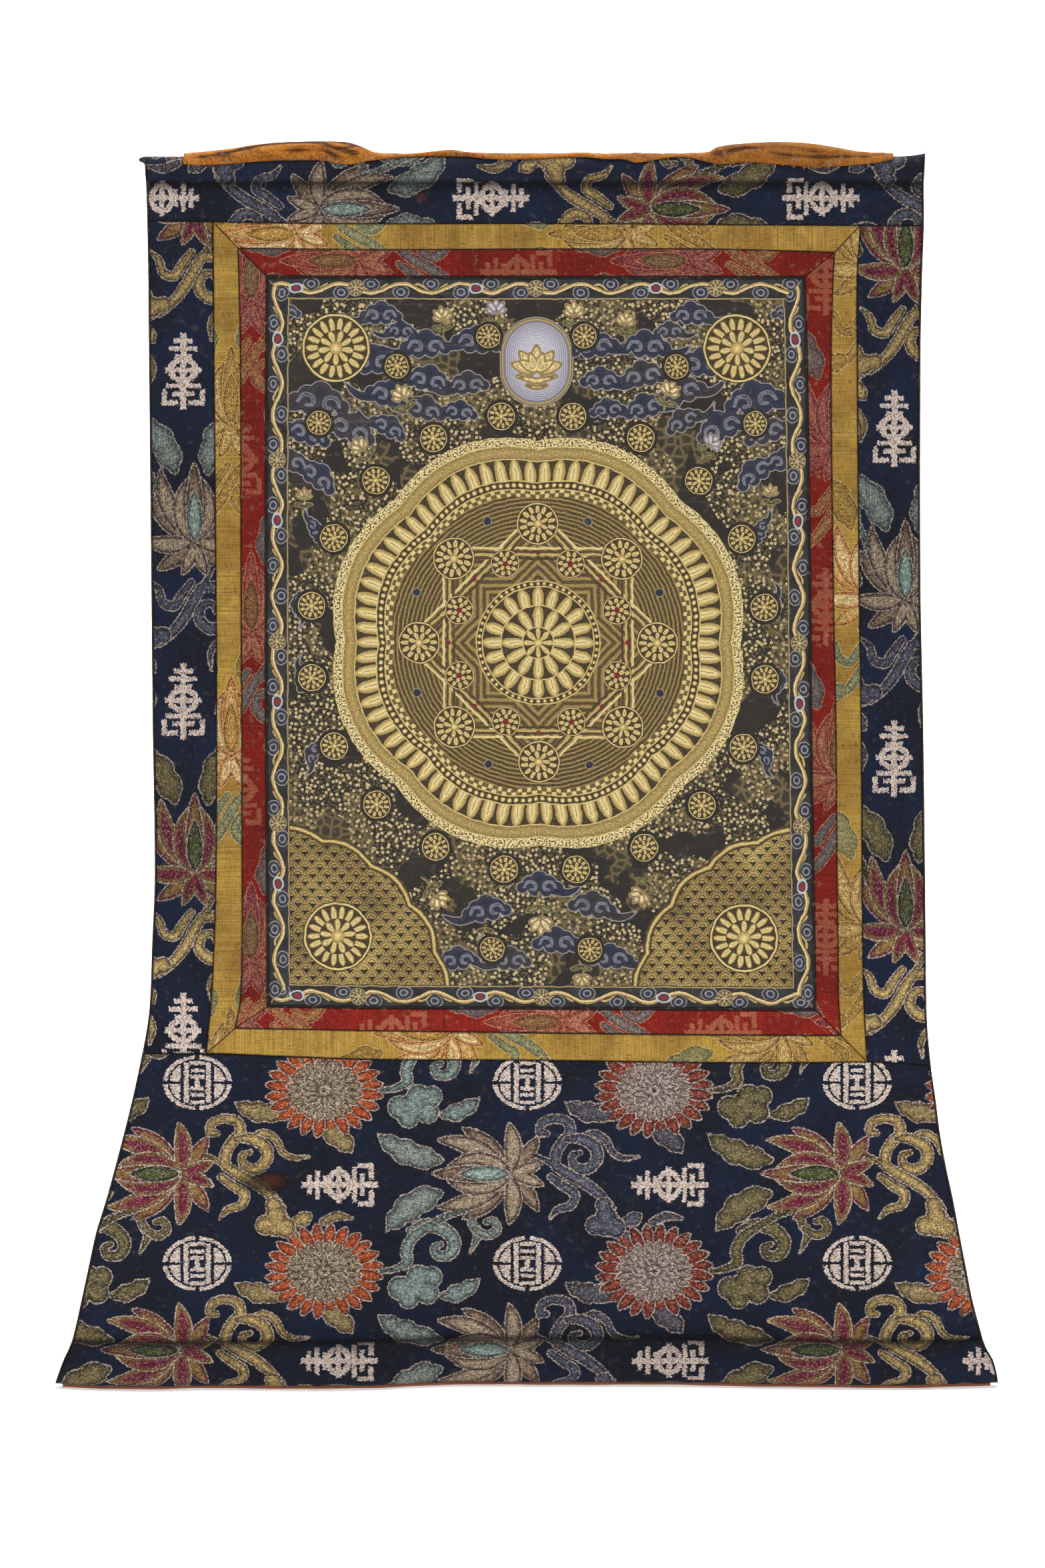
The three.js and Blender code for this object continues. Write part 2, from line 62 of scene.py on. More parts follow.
# Crosswise lines, from left to right
seamsAcross = {
    "x": [-350, -287, -240, -145, 0, 145, 245, 293, 332, 350],
    "top": [0, 0, 0, 0, 0, 0, 0, 0, 0.6, 3.2],
    "strip": [-57.3, -58.2, -59.2, -60, -59.7, -60.6, -61.2, -61.6, -61.7, -61.8],
    "redTop": [-81, -81.3, -82, -83.1, -82.5, -82.4, -84.7, -86.8, -88, -88],
    "paintTop": [-106.4, -106.5, -106.5, -106.8, -106.9, -107, -107, -107, -107, -107],
    "paintFoot": [-757, -757.2, -757.4, -758.8, -759.4, -760.1, -760.6, -760.6, -760.6, -760.6],
    "redFoot": [-775.5, -776, -777, -778.7, -780.7, -782.4, -783, -783, -783, -783],
    "panel": [-799.4, -799, -801, -804.3, -805, -807, -807.2, -806.8, -808, -809.4],
}
footEdge = {
    "x": [-430, -395, -340, -290, -200, -140, -85, 0, 120, 212, 330, 414],
    "foot": [-1096, -1097.8, -1098.6, -1097.2, -1098.2, -1097.4, -1094.8, -1094.3, -1094.6, -1096.4,
             -1097, -1095.2],
}
# Soft swells and hollows: centre, reach across and down, and how far the cloth stands out
swells = [
    (0, -420, 210, 260, -2.0), (-312, -300, 26, 150, 1.4), (-312, -640, 26, 90, -1.2),
    (318, -180, 24, 90, 1.2), (318, -560, 24, 170, -1.5), (-275, -775, 30, 22, 1.6),
    (285, -905, 34, 105, -5.0), (350, -930, 26, 100, 3.4), (-335, -950, 55, 80, 2.8),
    (-215, -900, 50, 90, -2.0), (60, -880, 150, 50, 1.8), (-60, -1010, 120, 24, 2.2),
    (190, -1005, 70, 22, 1.4), (-170, -27, 9, 13, -2.4), (175, -27, 8, 15, -2.6),
]
# Creases left by rolling and handling: from, to, half width, and height (a trough is negative)
creases = [
    ((-420, -1048), (405, -1050), 5.0, -0.7), ((262, -830), (292, -1040), 7.0, -1.1),
    ((305, -835), (330, -1045), 8.0, 0.9), ((-352, -832), (-300, -880), 7.0, 0.7),
    ((-340, -143), (-288, -139), 4.0, 0.5), ((-338, -262), (-290, -268), 3.5, -0.45),
    ((-338, -418), (-288, -411), 4.0, 0.5), ((-338, -560), (-288, -566), 3.5, -0.5),
    ((-338, -703), (-290, -697), 4.0, 0.5), ((292, -150), (342, -154), 4.0, 0.5),
    ((292, -318), (342, -311), 3.5, -0.5), ((292, -470), (344, -476), 4.0, 0.55),
    ((294, -622), (346, -616), 3.5, -0.5), ((294, -742), (346, -748), 4.0, 0.5),
    ((-170, -812), (240, -822), 5.0, 0.6), ((-30, -1030), (260, -1024), 5.0, 0.6),
    ((-390, -1010), (-250, -1030), 6.0, -0.6), ((-120, -846), (-40, -800), 6.0, 0.4),
]
# Thicknesses and widths of the sewn pieces. A seam gap below zero lets two sheets overlap a hair, so
# that no light shows between them
make = {
    "brocadeThick": 2.0, "stripThick": 2.0, "canvasThick": 1.6, "pipingWide": 1.8, "pipingThick": 2.8,
    "bindingWide": 1.6, "bindingProud": 0.3, "seamGap": -0.04, "topHemTall": 23.5, "topHemDeep": 14.0,
    "footHemTall": 39.0, "footHemDeep": 26.0, "hemTip": 1.2, "liningTall": 3.0, "liningThick": 1.4,
    "liningInset": 6.0, "hornOut": 5.5, "hornBelow": 3.0, "hornSpread": 2.4, "footZ": -1096.0,
    "creaseZ": -1054.0,
}
# Lengths along the cloth, which set how many rows and columns each sheet has
lengths = {"footWide": 780.0, "footFlat": 250.0, "topWide": 690.0, "topFlat": 36.0, "sideTall": 742.0,
           "sideWide": 56.0, "paintTall": 648.0, "paintWide": 478.0}
# Where the brocade's pattern lies on each piece
brocadePlaces = {"foot": (7.0, 825.0), "top": (381.5, -128.0), "left": (229.6, 222.5),
                 "right": (178.6, -411.0)}
half = make["seamGap"] / 2
pipe = make["pipingWide"] + make["seamGap"]
bound = make["bindingWide"] + make["seamGap"]


# Cubic between a table's rows, each row's slope being that from its lower to its upper neighbour
def along(keys, values, at):
    place = np.clip(at, keys[0], keys[-1])
    i = np.clip(np.searchsorted(keys, place, side="left") - 1, 0, len(keys) - 2)
    order = np.arange(len(keys))
    lower, upper = np.maximum(order - 1, 0), np.minimum(order + 1, len(keys) - 1)
    slope = (values[upper] - values[lower]) / (keys[upper] - keys[lower])
    wide = keys[i + 1] - keys[i]
    t = (place - keys[i]) / wide
    rise = values[i + 1] - values[i]
    start, end = slope[i] * wide - rise, rise - slope[i + 1] * wide
    return values[i] + t * rise + t * (1 - t) * (start * (1 - t) + end * t)


def lineOf(table, key, name):
    keys, values = np.array(table[key], float), np.array(table[name], float)
    return lambda at: along(keys, values, np.asarray(at, float))


lines = {}
for table, key in ((edgesDown, "z"), (seamsDown, "z"), (seamsAcross, "x")):
    lines.update({name: lineOf(table, key, name) for name in table if name != key})
footAt = lineOf(footEdge, "x", "foot")


def mix(a, b, t):
    return a + (b - a) * t


def smoothstep(low, high, value):
    t = np.clip((value - low) / (high - low), 0, 1)
    return t * t * (3 - 2 * t)


# Where a lengthwise line meets crosswise lines: the height is followed until it settles
def crossing(down, heightAt):
    z = heightAt(np.zeros(1))
    for _ in range(6):
        z = heightAt(down(z))
    return down(z), z


# The depth of the cloth's middle: a sum of round bumps, and a slow ripple that grows towards the foot
def clothDepth(x, z):
    out = sum(o * np.exp(-((x - sx) / wide) ** 2 - ((z - sz) / tall) ** 2)
              for sx, sz, wide, tall, o in swells)
    return -out - 1.3 * smoothstep(760, 1060, -z) * np.sin(x / 47 + 0.8)


# Creases: for each, a round-topped ridge across its line that fades towards both ends
def creaseHeight(x, z):
    total = 0.0
    for (ax, az), (bx, bz), wide, high in creases:
        dx, dz = bx - ax, bz - az
        span = dx * dx + dz * dz
        t = ((x - ax) * dx + (z - az) * dz) / span
        off = ((x - ax) * dz - (z - az) * dx) / np.sqrt(span)
        fade = smoothstep(-0.02, 0.2, t) * smoothstep(1.02, 0.8, t)
        total = total + high * np.exp(-(off / wide) ** 2) * fade
    return total


# Shares from 0 to 1 at an even pitch, with two close steps at each end for the turned edge. Their
# number of steps is a whole multiple of coarse
def spaced(length, pitch, coarse):
    first, second = 0.35 / length, 0.95 / length
    count = coarse * max(2, int(round(length / pitch / coarse)))
    inner = np.linspace(second, 1 - second, count - 3)
    return np.concatenate([[0, first], inner, [1 - first, 1]])


# How far the face falls back at a turned edge: a quarter round of the seam's own size
def edgeTurn(distance, size=1.3, fall=0.7):
    return fall * (1 - np.clip(distance / size, 0, 1)) ** 2


# Puckers beside a seam: a wave along it whose height falls away from it
def puckers(distance, place, high=0.3, pitch=11.0, reach=6.0):
    return high * np.exp(-distance / reach) * np.sin(2 * np.pi * place / pitch + 1.7 * np.sin(place / 37))


def gridFaces(index):
    return np.stack([index[:-1, :-1], index[1:, :-1], index[1:, 1:], index[:-1, 1:]], -1).reshape(-1, 4)


def gridLoop(index):
    return np.concatenate([index[0, :-1], index[:-1, -1], index[-1, :0:-1], index[:0:-1, 0]])


# A mesh from whole arrays: its points in millimetres, then its faces of four and of three corners
def newMesh(name, points, quads, triangles, materials, slots=None, attributes=()):
    mesh = bpy.data.meshes.new(name)
    quads = np.asarray(quads, np.int64).reshape(-1, 4)
    triangles = np.asarray(triangles, np.int64).reshape(-1, 3)
    mesh.vertices.add(len(points))
    mesh.vertices.foreach_set("co", (np.asarray(points, float) * mm).astype(np.float32).ravel())
    corners = np.concatenate([quads.ravel(), triangles.ravel()])
    mesh.loops.add(len(corners))
    mesh.loops.foreach_set("vertex_index", corners.astype(np.int32))
    sizes = np.concatenate([np.full(len(quads), 4), np.full(len(triangles), 3)])
    mesh.polygons.add(len(sizes))
    starts = np.concatenate([[0], np.cumsum(sizes)[:-1]])
    mesh.polygons.foreach_set("loop_start", starts.astype(np.int32))
    mesh.update(calc_edges=True)
    mesh.polygons.foreach_set("use_smooth", np.ones(len(sizes), bool))
    for material in materials:
        mesh.materials.append(material)
    if slots is not None:
        mesh.polygons.foreach_set("material_index", slots.astype(np.int32))
    for label, kind, values in attributes:
        attribute = mesh.attributes.new(label, kind, "POINT")
        key = {"FLOAT": "value", "FLOAT_VECTOR": "vector", "FLOAT_COLOR": "color"}[kind]
        attribute.data.foreach_set(key, np.asarray(values, np.float32).ravel())
    mesh.validate()
    piece = bpy.data.objects.new(name, mesh)
    bpy.context.scene.collection.objects.link(piece)
    return piece


# A closed sheet: a fine front grid, a coarse back grid, and a rim of triangles between their edges
def sheetMesh(name, front, back, materials, attributes=(), coarse=6):
    rows, columns = front.shape[:2]
    back = back[::coarse, ::coarse]
    frontIndex = np.arange(rows * columns).reshape(rows, columns)
    backIndex = rows * columns + np.arange(back.shape[0] * back.shape[1]).reshape(back.shape[:2])
    frontQuads, backQuads = gridFaces(frontIndex), gridFaces(backIndex)[:, ::-1]
    near, far = gridLoop(frontIndex), gridLoop(backIndex)
    i, j = np.arange(len(near)), np.arange(1, len(far) + 1)
    edge = np.stack([near, np.roll(near, -1), far[((i + coarse // 2) // coarse) % len(far)]], -1)
    turn = np.stack([near[j * coarse - coarse // 2], far[j % len(far)], far[j - 1]], -1)
    points = np.concatenate([front.reshape(-1, 3), back.reshape(-1, 3)])
    slots = np.zeros(len(frontQuads) + len(backQuads) + len(edge) + len(turn), int)
    slots[len(frontQuads):len(frontQuads) + len(backQuads)] = 1
    rowsOf = []
    for label, kind, values in attributes:
        behind = values[::coarse, ::coarse].copy()
        if kind == "FLOAT_COLOR":
            behind[..., 3] = emptyDistance
        width = values.shape[-1]
        whole = np.concatenate([values.reshape(-1, width), behind.reshape(-1, width)])
        rowsOf.append((label, kind, whole))
    quads, triangles = np.concatenate([frontQuads, backQuads]), np.concatenate([edge, turn])
    return newMesh(name, points, quads, triangles, materials, slots, rowsOf)


# A closed body from equal rings of points: its sides are quads and each end is a fan to its middle
def ringMesh(name, rings, materials, attributes=()):
    count, size = rings.shape[:2]
    index = np.arange(count * size).reshape(count, size)
    index = np.concatenate([index, index[:, :1]], 1)
    quads = gridFaces(index)
    ends = np.stack([rings[0].mean(0), rings[-1].mean(0)])
    first = np.stack([index[0, :-1], index[0, 1:], np.full(size, count * size)], -1)
    last = np.stack([index[-1, 1:], index[-1, :-1], np.full(size, count * size + 1)], -1)
    points = np.concatenate([rings.reshape(-1, 3), ends])
    triangles = np.concatenate([first, last])
    a, b, c, d = (points[quads[:, k]] for k in range(4))
    volume = (np.cross(a, b) * c).sum() + (np.cross(a, c) * d).sum()
    volume += (np.cross(points[triangles[:, 0]], points[triangles[:, 1]]) * points[triangles[:, 2]]).sum()
    if volume < 0:
        quads, triangles = quads[:, ::-1], triangles[:, ::-1]
    return newMesh(name, points, quads, triangles, materials, None, attributes)


def settle(piece, node):
    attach(piece, "root")
    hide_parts(node)


# Colours as read on screen, 0 to 255, made into the shader's linear values
def tint(red, green, blue):
    value = np.array([red, green, blue]) / 255
    return np.where(value <= 0.04045, value / 12.92, ((value + 0.055) / 1.055) ** 2.4)


def rgba(colour):
    return (*[float(v) for v in tint(*colour)], 1.0)


# Woven figures: each is a smooth row of overlapping discs, so the distance into it is the greatest
# of disc radius less distance from the disc's middle. Four layers let neighbours overlap
emptyDistance = -5.0


def newField(p, q):
    return {"p": p.ravel(), "q": q.ravel(), "distance": np.full((4, p.size), emptyDistance),
            "colour": np.zeros((4, p.size, 3))}


def stamp(field, layer, points, halves, paint):
    p, q = field["p"], field["q"]
    lowP, lowQ = (points - halves[:, None]).min(0) + emptyDistance
    highP, highQ = (points + halves[:, None]).max(0) - emptyDistance
    near = np.flatnonzero((p > lowP) & (p < highP) & (q > lowQ) & (q < highQ))
    if not near.size:
        return
    away = np.hypot(p[near, None] - points[:, 0], q[near, None] - points[:, 1])
    depth = (halves - away).max(1)
    better = depth > field["distance"][layer, near]
    near, depth = near[better], depth[better]
    field["distance"][layer, near] = depth
    rim, heart = (tint(*colour) for colour in paint)
    share = smoothstep(0.9, max(2.6, 0.62 * halves.max()), depth)
    field["colour"][layer, near] = rim + (heart - rim) * share[:, None]


def brush(points, halves, count=26):
    points, halves = np.array(points, float), np.array(halves, float)
    keys, at = np.arange(len(points), dtype=float), np.linspace(0, len(points) - 1, count)
    path = np.stack([along(keys, points[:, 0], at), along(keys, points[:, 1], at)], -1)
    return path, np.maximum(along(keys, halves, at), 0.2)


# A petal or leaf: its middle line bows sideways as a parabola, and its half width is a sine of the
# way along raised to a power, so that full puts the widest place nearer to the tip
def petal(base, tip, bow, wide, full=0.85, teeth=0, count=22):
    base, tip = np.array(base, float), np.array(tip, float)
    t = np.linspace(0.02, 1, count)
    run = tip - base
    side = np.array([-run[1], run[0]]) / np.hypot(*run)
    path = base + run * t[:, None] + side * (bow * 4 * t * (1 - t))[:, None]
    halves = wide * np.maximum(np.sin(np.pi * t ** full), 0) ** 0.8 + 0.3 * (1 - t)
    if teeth:
        halves = halves * (1.12 - 0.45 * ((t * teeth) % 1))
    return path, halves


# A lotus seen from the side, its tip towards -p, as fractions of its own size in millimetres
def lotusShapes():
    rows = [(0, 73, 0, 0, 8.0, "petal")]
    for s in (1, -1):
        rows += [
            (0, 45, 41 * s, 5 * s, 7.8, "petal"), (0, -24, 34 * s, 2 * s, 7.0, "petal"),
            (1, 68, 30 * s, 8 * s, 8.4, "front"), (1, 3, 46 * s, 4 * s, 7.8, "front"),
            (1, -29, 11 * s, 1 * s, 5.6, "front"),
        ]
    shapes = []
    for layer, u, v, bow, wide, paint in rows:
        path, halves = petal((-2, 0), (-u, v), -bow, wide, 0.95)
        shapes.append((layer, path, halves, paint))
    for s in (1, -1):
        path, halves = petal((0, 2 * s), (-61, 3 * s), -11 * s, 6.0, 0.8)
        shapes.append((2, path, halves, "front"))
    shapes.append((3, *petal((-3, 0), (-48, 0), 0, 7.2, 0.8), "heart"))
    return shapes


# A chrysanthemum, wider than tall: rings of petals, each ring in its own layer
def bloomShapes():
    squash = np.array([1.0, 0.8])
    shapes = [(1, np.zeros((1, 2)), np.array([25.0]), "bloomBase")]
    rings = [
        (24, 24, 53.5, 5.7, 1.02, (0, 1), "bloom"), (20, 15, 34.5, 4.0, 1.3, (2, 2), "bloomInner"),
        (14, 3, 23, 3.5, 1.2, (3, 3), "bloomCore"),
    ]
    for count, inner, outer, wide, full, layers, paint in rings:
        for k in range(count):
            turn = 2 * np.pi * (k + 0.5) / count
            ray = np.array([np.cos(turn), np.sin(turn)])
            base, tip = ray * inner * squash, ray * outer * squash
            path, halves = petal(base, tip, 0.6, wide * 0.92, full, count=14)
            shapes.append((layers[k % 2], path, halves, paint))
    return shapes


# Scrolls, leaves and sprigs between the flowers of one repeat, in millimetres from its fret roundel
def scrollShapes():
    tendrils = [
        (0, "scroll", [(8, -65), (22, -72), (34, -80), (52, -90), (66, -101), (76, -112)],
         [2.4, 3.2, 5, 5.2, 4.4, 3]),
        (0, "scroll", [(26, -76), (25, -64), (31, -53), (38, -45), (36, -35), (24, -32), (13, -36),
                       (11, -44), (17, -45)], [4, 5, 5, 5, 4.6, 4.2, 4, 3.6, 3]),
        (1, "scroll", [(35, -50), (48, -50), (60, -57), (62, -68), (53, -77), (42, -74), (40, -65),
                       (47, -62)], [3, 5, 5.6, 5.4, 5, 4.2, 3.2, 2.4]),
        (0, "scroll", [(50, -48), (60, -45), (70, -51), (76, -62), (86, -67), (99, -66)],
         [3, 3.4, 3.4, 3, 2.6, 1.2]),
        (1, "scroll", [(21, -84), (32, -92), (42, -99), (39, -109), (27, -113), (20, -121)],
         [3.4, 4.2, 4.4, 4, 3.2, 1.2]),
        (0, "scroll", [(76, -116), (82, -127), (90, -140), (97, -148)], [3, 3.2, 3, 2.4]),
        (1, "sprig", [(238, -114), (222, -119), (206, -128), (192, -138), (186, -150), (187, -160),
                      (176, -166), (164, -168)], [2.6, 3.4, 4.2, 5, 5.2, 4.6, 3.2, 2.4]),
        (0, "sprig", [(190, -132), (204, -127), (220, -131), (229, -142), (225, -153), (214, -154),
                      (211, -147), (217, -144)], [4, 6, 6.2, 6, 5, 4.2, 3.4, 2.6]),
        (0, "leaf", [(-51, -115), (-49, -126), (-44, -135), (-51, -152)], [2.6, 4, 4, 1]),
        (1, "leaf", [(-47, -130), (-36, -136), (-27, -131), (-30, -123), (-37, -124)],
         [3, 4, 4, 3.4, 2.6]),
        (1, "bloomLeaf", [(112, 37), (124, 42), (138, 40)], [3.6, 4, 1.4]),
    ]
    shapes = [(layer, *brush(points, halves), paint) for layer, paint, points, halves in tendrils]
    lobes = {
        "scroll": [(70, -119, 9.4), (60.5, -127, 8.8), (78.5, -129, 9.2), (68, -109, 7.4), (70, -127, 10)],
        "sprig": [(197, -173, 10.4), (209, -173, 9.2), (180, -183, 10.4), (188, -192, 9.4),
                  (205, -187, 10.2), (193, -182, 12.5)],
    }
    for paint, discs in lobes.items():
        shapes += [(1, np.array([[p, q]], float), np.array([wide]), paint) for p, q, wide in discs]
    leaves = [
        (0, (84, -124), (102, -116), -2, 6, 2, "scroll"), (1, (216, -190), (252, -174), -4, 7.5, 3, "sprig"),
        (0, (-75, -69), (-134, -45), 6, 11, 4, "leaf"), (0, (-76, -98), (-126, -133), -6, 12, 4, "leaf"),
        (0, (80, -24), (33, -17), 6, 9, 4, "bloomLeaf"), (0, (110, -42), (138, -63), 4, 9, 3, "bloomLeaf"),
    ]
    for layer, base, tip, bow, wide, teeth, paint in leaves:
        shapes.append((layer, *petal(base, tip, bow, wide, 0.9, teeth), paint))
    return shapes


# The brocade's repeat, and where its figures' own origins lie in it
repeat = {"wide": 294.0, "tall": 161.0, "scroll": (0, 0), "bloom": (113.0, -7.0), "lotus": (-14.0, -81.0)}
figures = {"scroll": scrollShapes(), "bloom": bloomShapes(), "lotus": lotusShapes()}
# Rim and heart colours of the woven figures in the order of threadNames; the repeats take the two
# sets by turns
threadNames = ("petal", "front", "heart", "scroll", "leaf", "bloom", "bloomBase", "bloomInner",
               "bloomCore", "bloomLeaf", "sprig")


def byName(*sets):
    return [dict(zip(threadNames, colours)) for colours in sets]


navyThreads = byName(
    [((82, 60, 52), (158, 130, 106)), ((92, 70, 60), (196, 172, 144)), ((92, 112, 108), (168, 192, 180)),
     ((54, 56, 74), (100, 102, 120)), ((88, 104, 102), (154, 166, 158)), ((112, 40, 32), (150, 64, 46)),
     ((64, 52, 48), (84, 72, 66)), ((144, 120, 112), (188, 168, 156)), ((154, 134, 128), (200, 184, 176)),
     ((58, 58, 70), (98, 96, 104)), ((72, 66, 44), (128, 116, 74))],
    [((124, 36, 64), (158, 122, 66)), ((166, 132, 74), (132, 40, 66)), ((52, 60, 38), (98, 104, 60)),
     ((130, 104, 60), (206, 176, 112)), ((82, 76, 48), (138, 124, 80)), ((150, 54, 24), (196, 90, 42)),
     ((74, 60, 40), (96, 82, 56)), ((132, 110, 84), (182, 162, 130)), ((138, 118, 92), (190, 172, 144)),
     ((114, 94, 58), (172, 150, 100)), ((88, 106, 102), (146, 164, 158))],
)
goldThreads = byName(
    [((176, 88, 44), (216, 176, 112)), ((182, 92, 54), (232, 204, 150)), ((142, 96, 44), (196, 150, 84)),
     ((84, 112, 98), (122, 140, 112)), ((134, 104, 50), (154, 122, 62)), ((178, 100, 52), (204, 140, 82)),
     ((160, 120, 60), (170, 130, 66)), ((190, 150, 92), (208, 172, 112)), ((170, 126, 70), (190, 148, 88)),
     ((136, 112, 62), (160, 132, 76)), ((96, 116, 92), (132, 140, 104))],
    [((128, 92, 42), (178, 138, 76)), ((140, 100, 48), (206, 174, 112)), ((140, 104, 50), (172, 134, 70)),
     ((146, 112, 54), (170, 132, 66)), ((104, 116, 86), (132, 136, 98)), ((150, 110, 54), (178, 138, 70)),
     ((140, 104, 52), (150, 114, 58)), ((150, 112, 56), (172, 132, 68)), ((140, 100, 48), (160, 120, 60)),
     ((116, 116, 78), (140, 132, 84)), ((150, 114, 58), (172, 134, 70))],
)
redThreads = byName(
    [((132, 46, 56), (160, 96, 72)), ((138, 58, 62), (178, 126, 94)), ((88, 78, 46), (130, 112, 68)),
     ((56, 88, 96), (96, 120, 116)), ((52, 92, 100), (92, 124, 120)), ((160, 66, 46), (176, 96, 62)),
     ((120, 52, 38), (130, 62, 44)), ((160, 104, 80), (184, 140, 108)), ((150, 84, 66), (176, 120, 92)),
     ((84, 92, 88), (116, 118, 106)), ((122, 60, 66), (150, 84, 84))],
    [((112, 38, 66), (146, 78, 80)), ((122, 50, 70), (164, 108, 92)), ((86, 88, 62), (120, 116, 80)),
     ((138, 96, 58), (168, 130, 84)), ((64, 88, 92), (98, 116, 112)), ((140, 52, 40), (160, 72, 52)),
     ((112, 46, 36), (122, 54, 40)), ((146, 82, 66), (170, 112, 88)), ((128, 66, 54), (152, 90, 72)),
     ((112, 92, 54), (140, 116, 70)), ((58, 84, 90), (92, 112, 112))],
)


# How far a repeat's figures reach past its own corner
repeatReach = {"left": 150, "right": 260, "below": 210, "above": 60}


def repeatsOver(values, size, before, after):
    first, last = (values.min() - after) / size, (values.max() + before) / size
    return range(int(np.floor(first)), int(np.ceil(last)) + 1)


# The woven field over pattern coordinates p and q: every repeat that reaches the cloth is stamped
def wovenField(p, q, threadSets):
    field = newField(p, q)
    for i in repeatsOver(p, repeat["wide"], repeatReach["left"], repeatReach["right"]):
        for j in repeatsOver(q, repeat["tall"], repeatReach["below"], repeatReach["above"]):
            corner = np.array([i * repeat["wide"], j * repeat["tall"]])
            paints = threadSets[i % 2]
            for name, shapes in figures.items():
                for layer, path, halves, paint in shapes:
                    stamp(field, layer, path + corner + np.array(repeat[name]), halves, paints[paint])
    return field


def fieldAttributes(field, shape, p, q):
    cloth = np.stack([p, q, np.zeros_like(p)], -1)
    found = [("cloth", "FLOAT_VECTOR", cloth)]
    for layer in range(4):
        values = np.concatenate([field["colour"][layer], field["distance"][layer][:, None]], 1)
        found.append((f"layer{layer}", "FLOAT_COLOR", values.reshape(*shape, 4)))
    return found


# Raised threads: the cloth stands a little prouder where a figure is woven in
def wovenRelief(field, shape, high=0.22):
    return high * smoothstep(-0.4, 1.2, field["distance"].max(0)).reshape(shape)


print("tables and figures ready")


# Shader values: a Signal makes a math node for each operation done with it
def plug(tree, item, socket):
    if isinstance(item, Signal):
        tree.links.new(item.socket, socket)
    else:
        socket.default_value = item


def calc(tree, kind, *items):
    node = tree.nodes.new("ShaderNodeMath")
    node.operation = kind
    for item, socket in zip(items, node.inputs):
        plug(tree, item, socket)
    return Signal(tree, node.outputs[0])


class Signal:
    def __init__(self, tree, socket):
        self.tree, self.socket = tree, socket

    def __add__(self, other):
        return calc(self.tree, "ADD", self, other)

    def __sub__(self, other):
        return calc(self.tree, "SUBTRACT", self, other)

    def __rsub__(self, other):
        return calc(self.tree, "SUBTRACT", other, self)

    def __mul__(self, other):
        return calc(self.tree, "MULTIPLY", self, other)

    def __truediv__(self, other):
        return calc(self.tree, "DIVIDE", self, other)

    __radd__, __rmul__ = __add__, __mul__

    def does(self, kind, *others):
        return calc(self.tree, kind, self, *others)

    def abs(self):
        return self.does("ABSOLUTE")

    def above(self, other):
        return self.does("GREATER_THAN", other)

    def below(self, other):
        return self.does("LESS_THAN", other)

    def least(self, other):
        return self.does("MINIMUM", other)

    def most(self, other):
        return self.does("MAXIMUM", other)

    def wrap(self, low, high):
        return self.does("WRAP", high, low)

    def ramp(self, low, high, start=0.0, end=1.0):
        node = self.tree.nodes.new("ShaderNodeMapRange")
        for item, socket in zip((self, low, high, start, end), node.inputs):
            plug(self.tree, item, socket)
        return Signal(self.tree, node.outputs[0])


def hypot(a, b):
    return (a * a + b * b).does("SQRT")


def choose(mask, off, on):
    return off + (on - off) * mask


def blend(mask, off, on, kind="MIX"):
    owner = next(item for item in (mask, off, on) if isinstance(item, Signal)).tree
    node = owner.nodes.new("ShaderNodeMix")
    node.data_type, node.blend_type = "RGBA", kind
    for item, place in ((mask, 0), (off, 6), (on, 7)):
        plug(owner, rgba(item) if isinstance(item, tuple) and len(item) == 3 else item, node.inputs[place])
    return Signal(owner, node.outputs[2])


def attribute(tree, name):
    node = tree.nodes.new("ShaderNodeAttribute")
    node.attribute_name = name
    return {key: Signal(tree, node.outputs[key]) for key in ("Color", "Vector", "Alpha", "Fac")}


def split(vector):
    node = vector.tree.nodes.new("ShaderNodeSeparateXYZ")
    plug(vector.tree, vector, node.inputs[0])
    return [Signal(vector.tree, socket) for socket in node.outputs]


def join(*parts):
    tree = next(item for item in parts if isinstance(item, Signal)).tree
    node = tree.nodes.new("ShaderNodeCombineXYZ")
    for item, socket in zip(parts, node.inputs):
        plug(tree, item, socket)
    return Signal(tree, node.outputs[0])


def grey(value):
    return join(value, value, value)


def noise(vector, scale, detail=2.0):
    tree = vector.tree
    node = tree.nodes.new("ShaderNodeTexNoise")
    for key, item in (("Vector", vector), ("Scale", scale), ("Detail", detail)):
        plug(tree, item, node.inputs[key])
    return Signal(tree, node.outputs[0])


def speckle(vector):
    node = vector.tree.nodes.new("ShaderNodeTexWhiteNoise")
    node.noise_dimensions = "2D"
    plug(vector.tree, vector, node.inputs["Vector"])
    return Signal(vector.tree, node.outputs["Value"])


def cells(vector, scale, feature="F1", wanted=("Distance", "Color")):
    node = vector.tree.nodes.new("ShaderNodeTexVoronoi")
    node.voronoi_dimensions = "2D"
    node.feature = feature
    for key, item in (("Vector", vector), ("Scale", scale)):
        plug(vector.tree, item, node.inputs[key])
    return [Signal(vector.tree, node.outputs[key]) for key in wanted]


sockets = {"value": "NodeSocketFloat", "colour": "NodeSocketColor", "vector": "NodeSocketVector"}


# A shader group: work takes the inputs as Signals and gives back the outputs in order
def newGroup(name, inputs, outputs, work):
    tree = bpy.data.node_groups.new(name, "ShaderNodeTree")
    for label, kind in inputs.items():
        tree.interface.new_socket(name=label, in_out="INPUT", socket_type=sockets[kind])
    for label, kind in outputs.items():
        tree.interface.new_socket(name=label, in_out="OUTPUT", socket_type=sockets[kind])
    entry, leave = tree.nodes.new("NodeGroupInput"), tree.nodes.new("NodeGroupOutput")
    results = work(*[Signal(tree, entry.outputs[label]) for label in inputs])
    for label, result in zip(outputs, results):
        plug(tree, result, leave.inputs[label])
    return tree


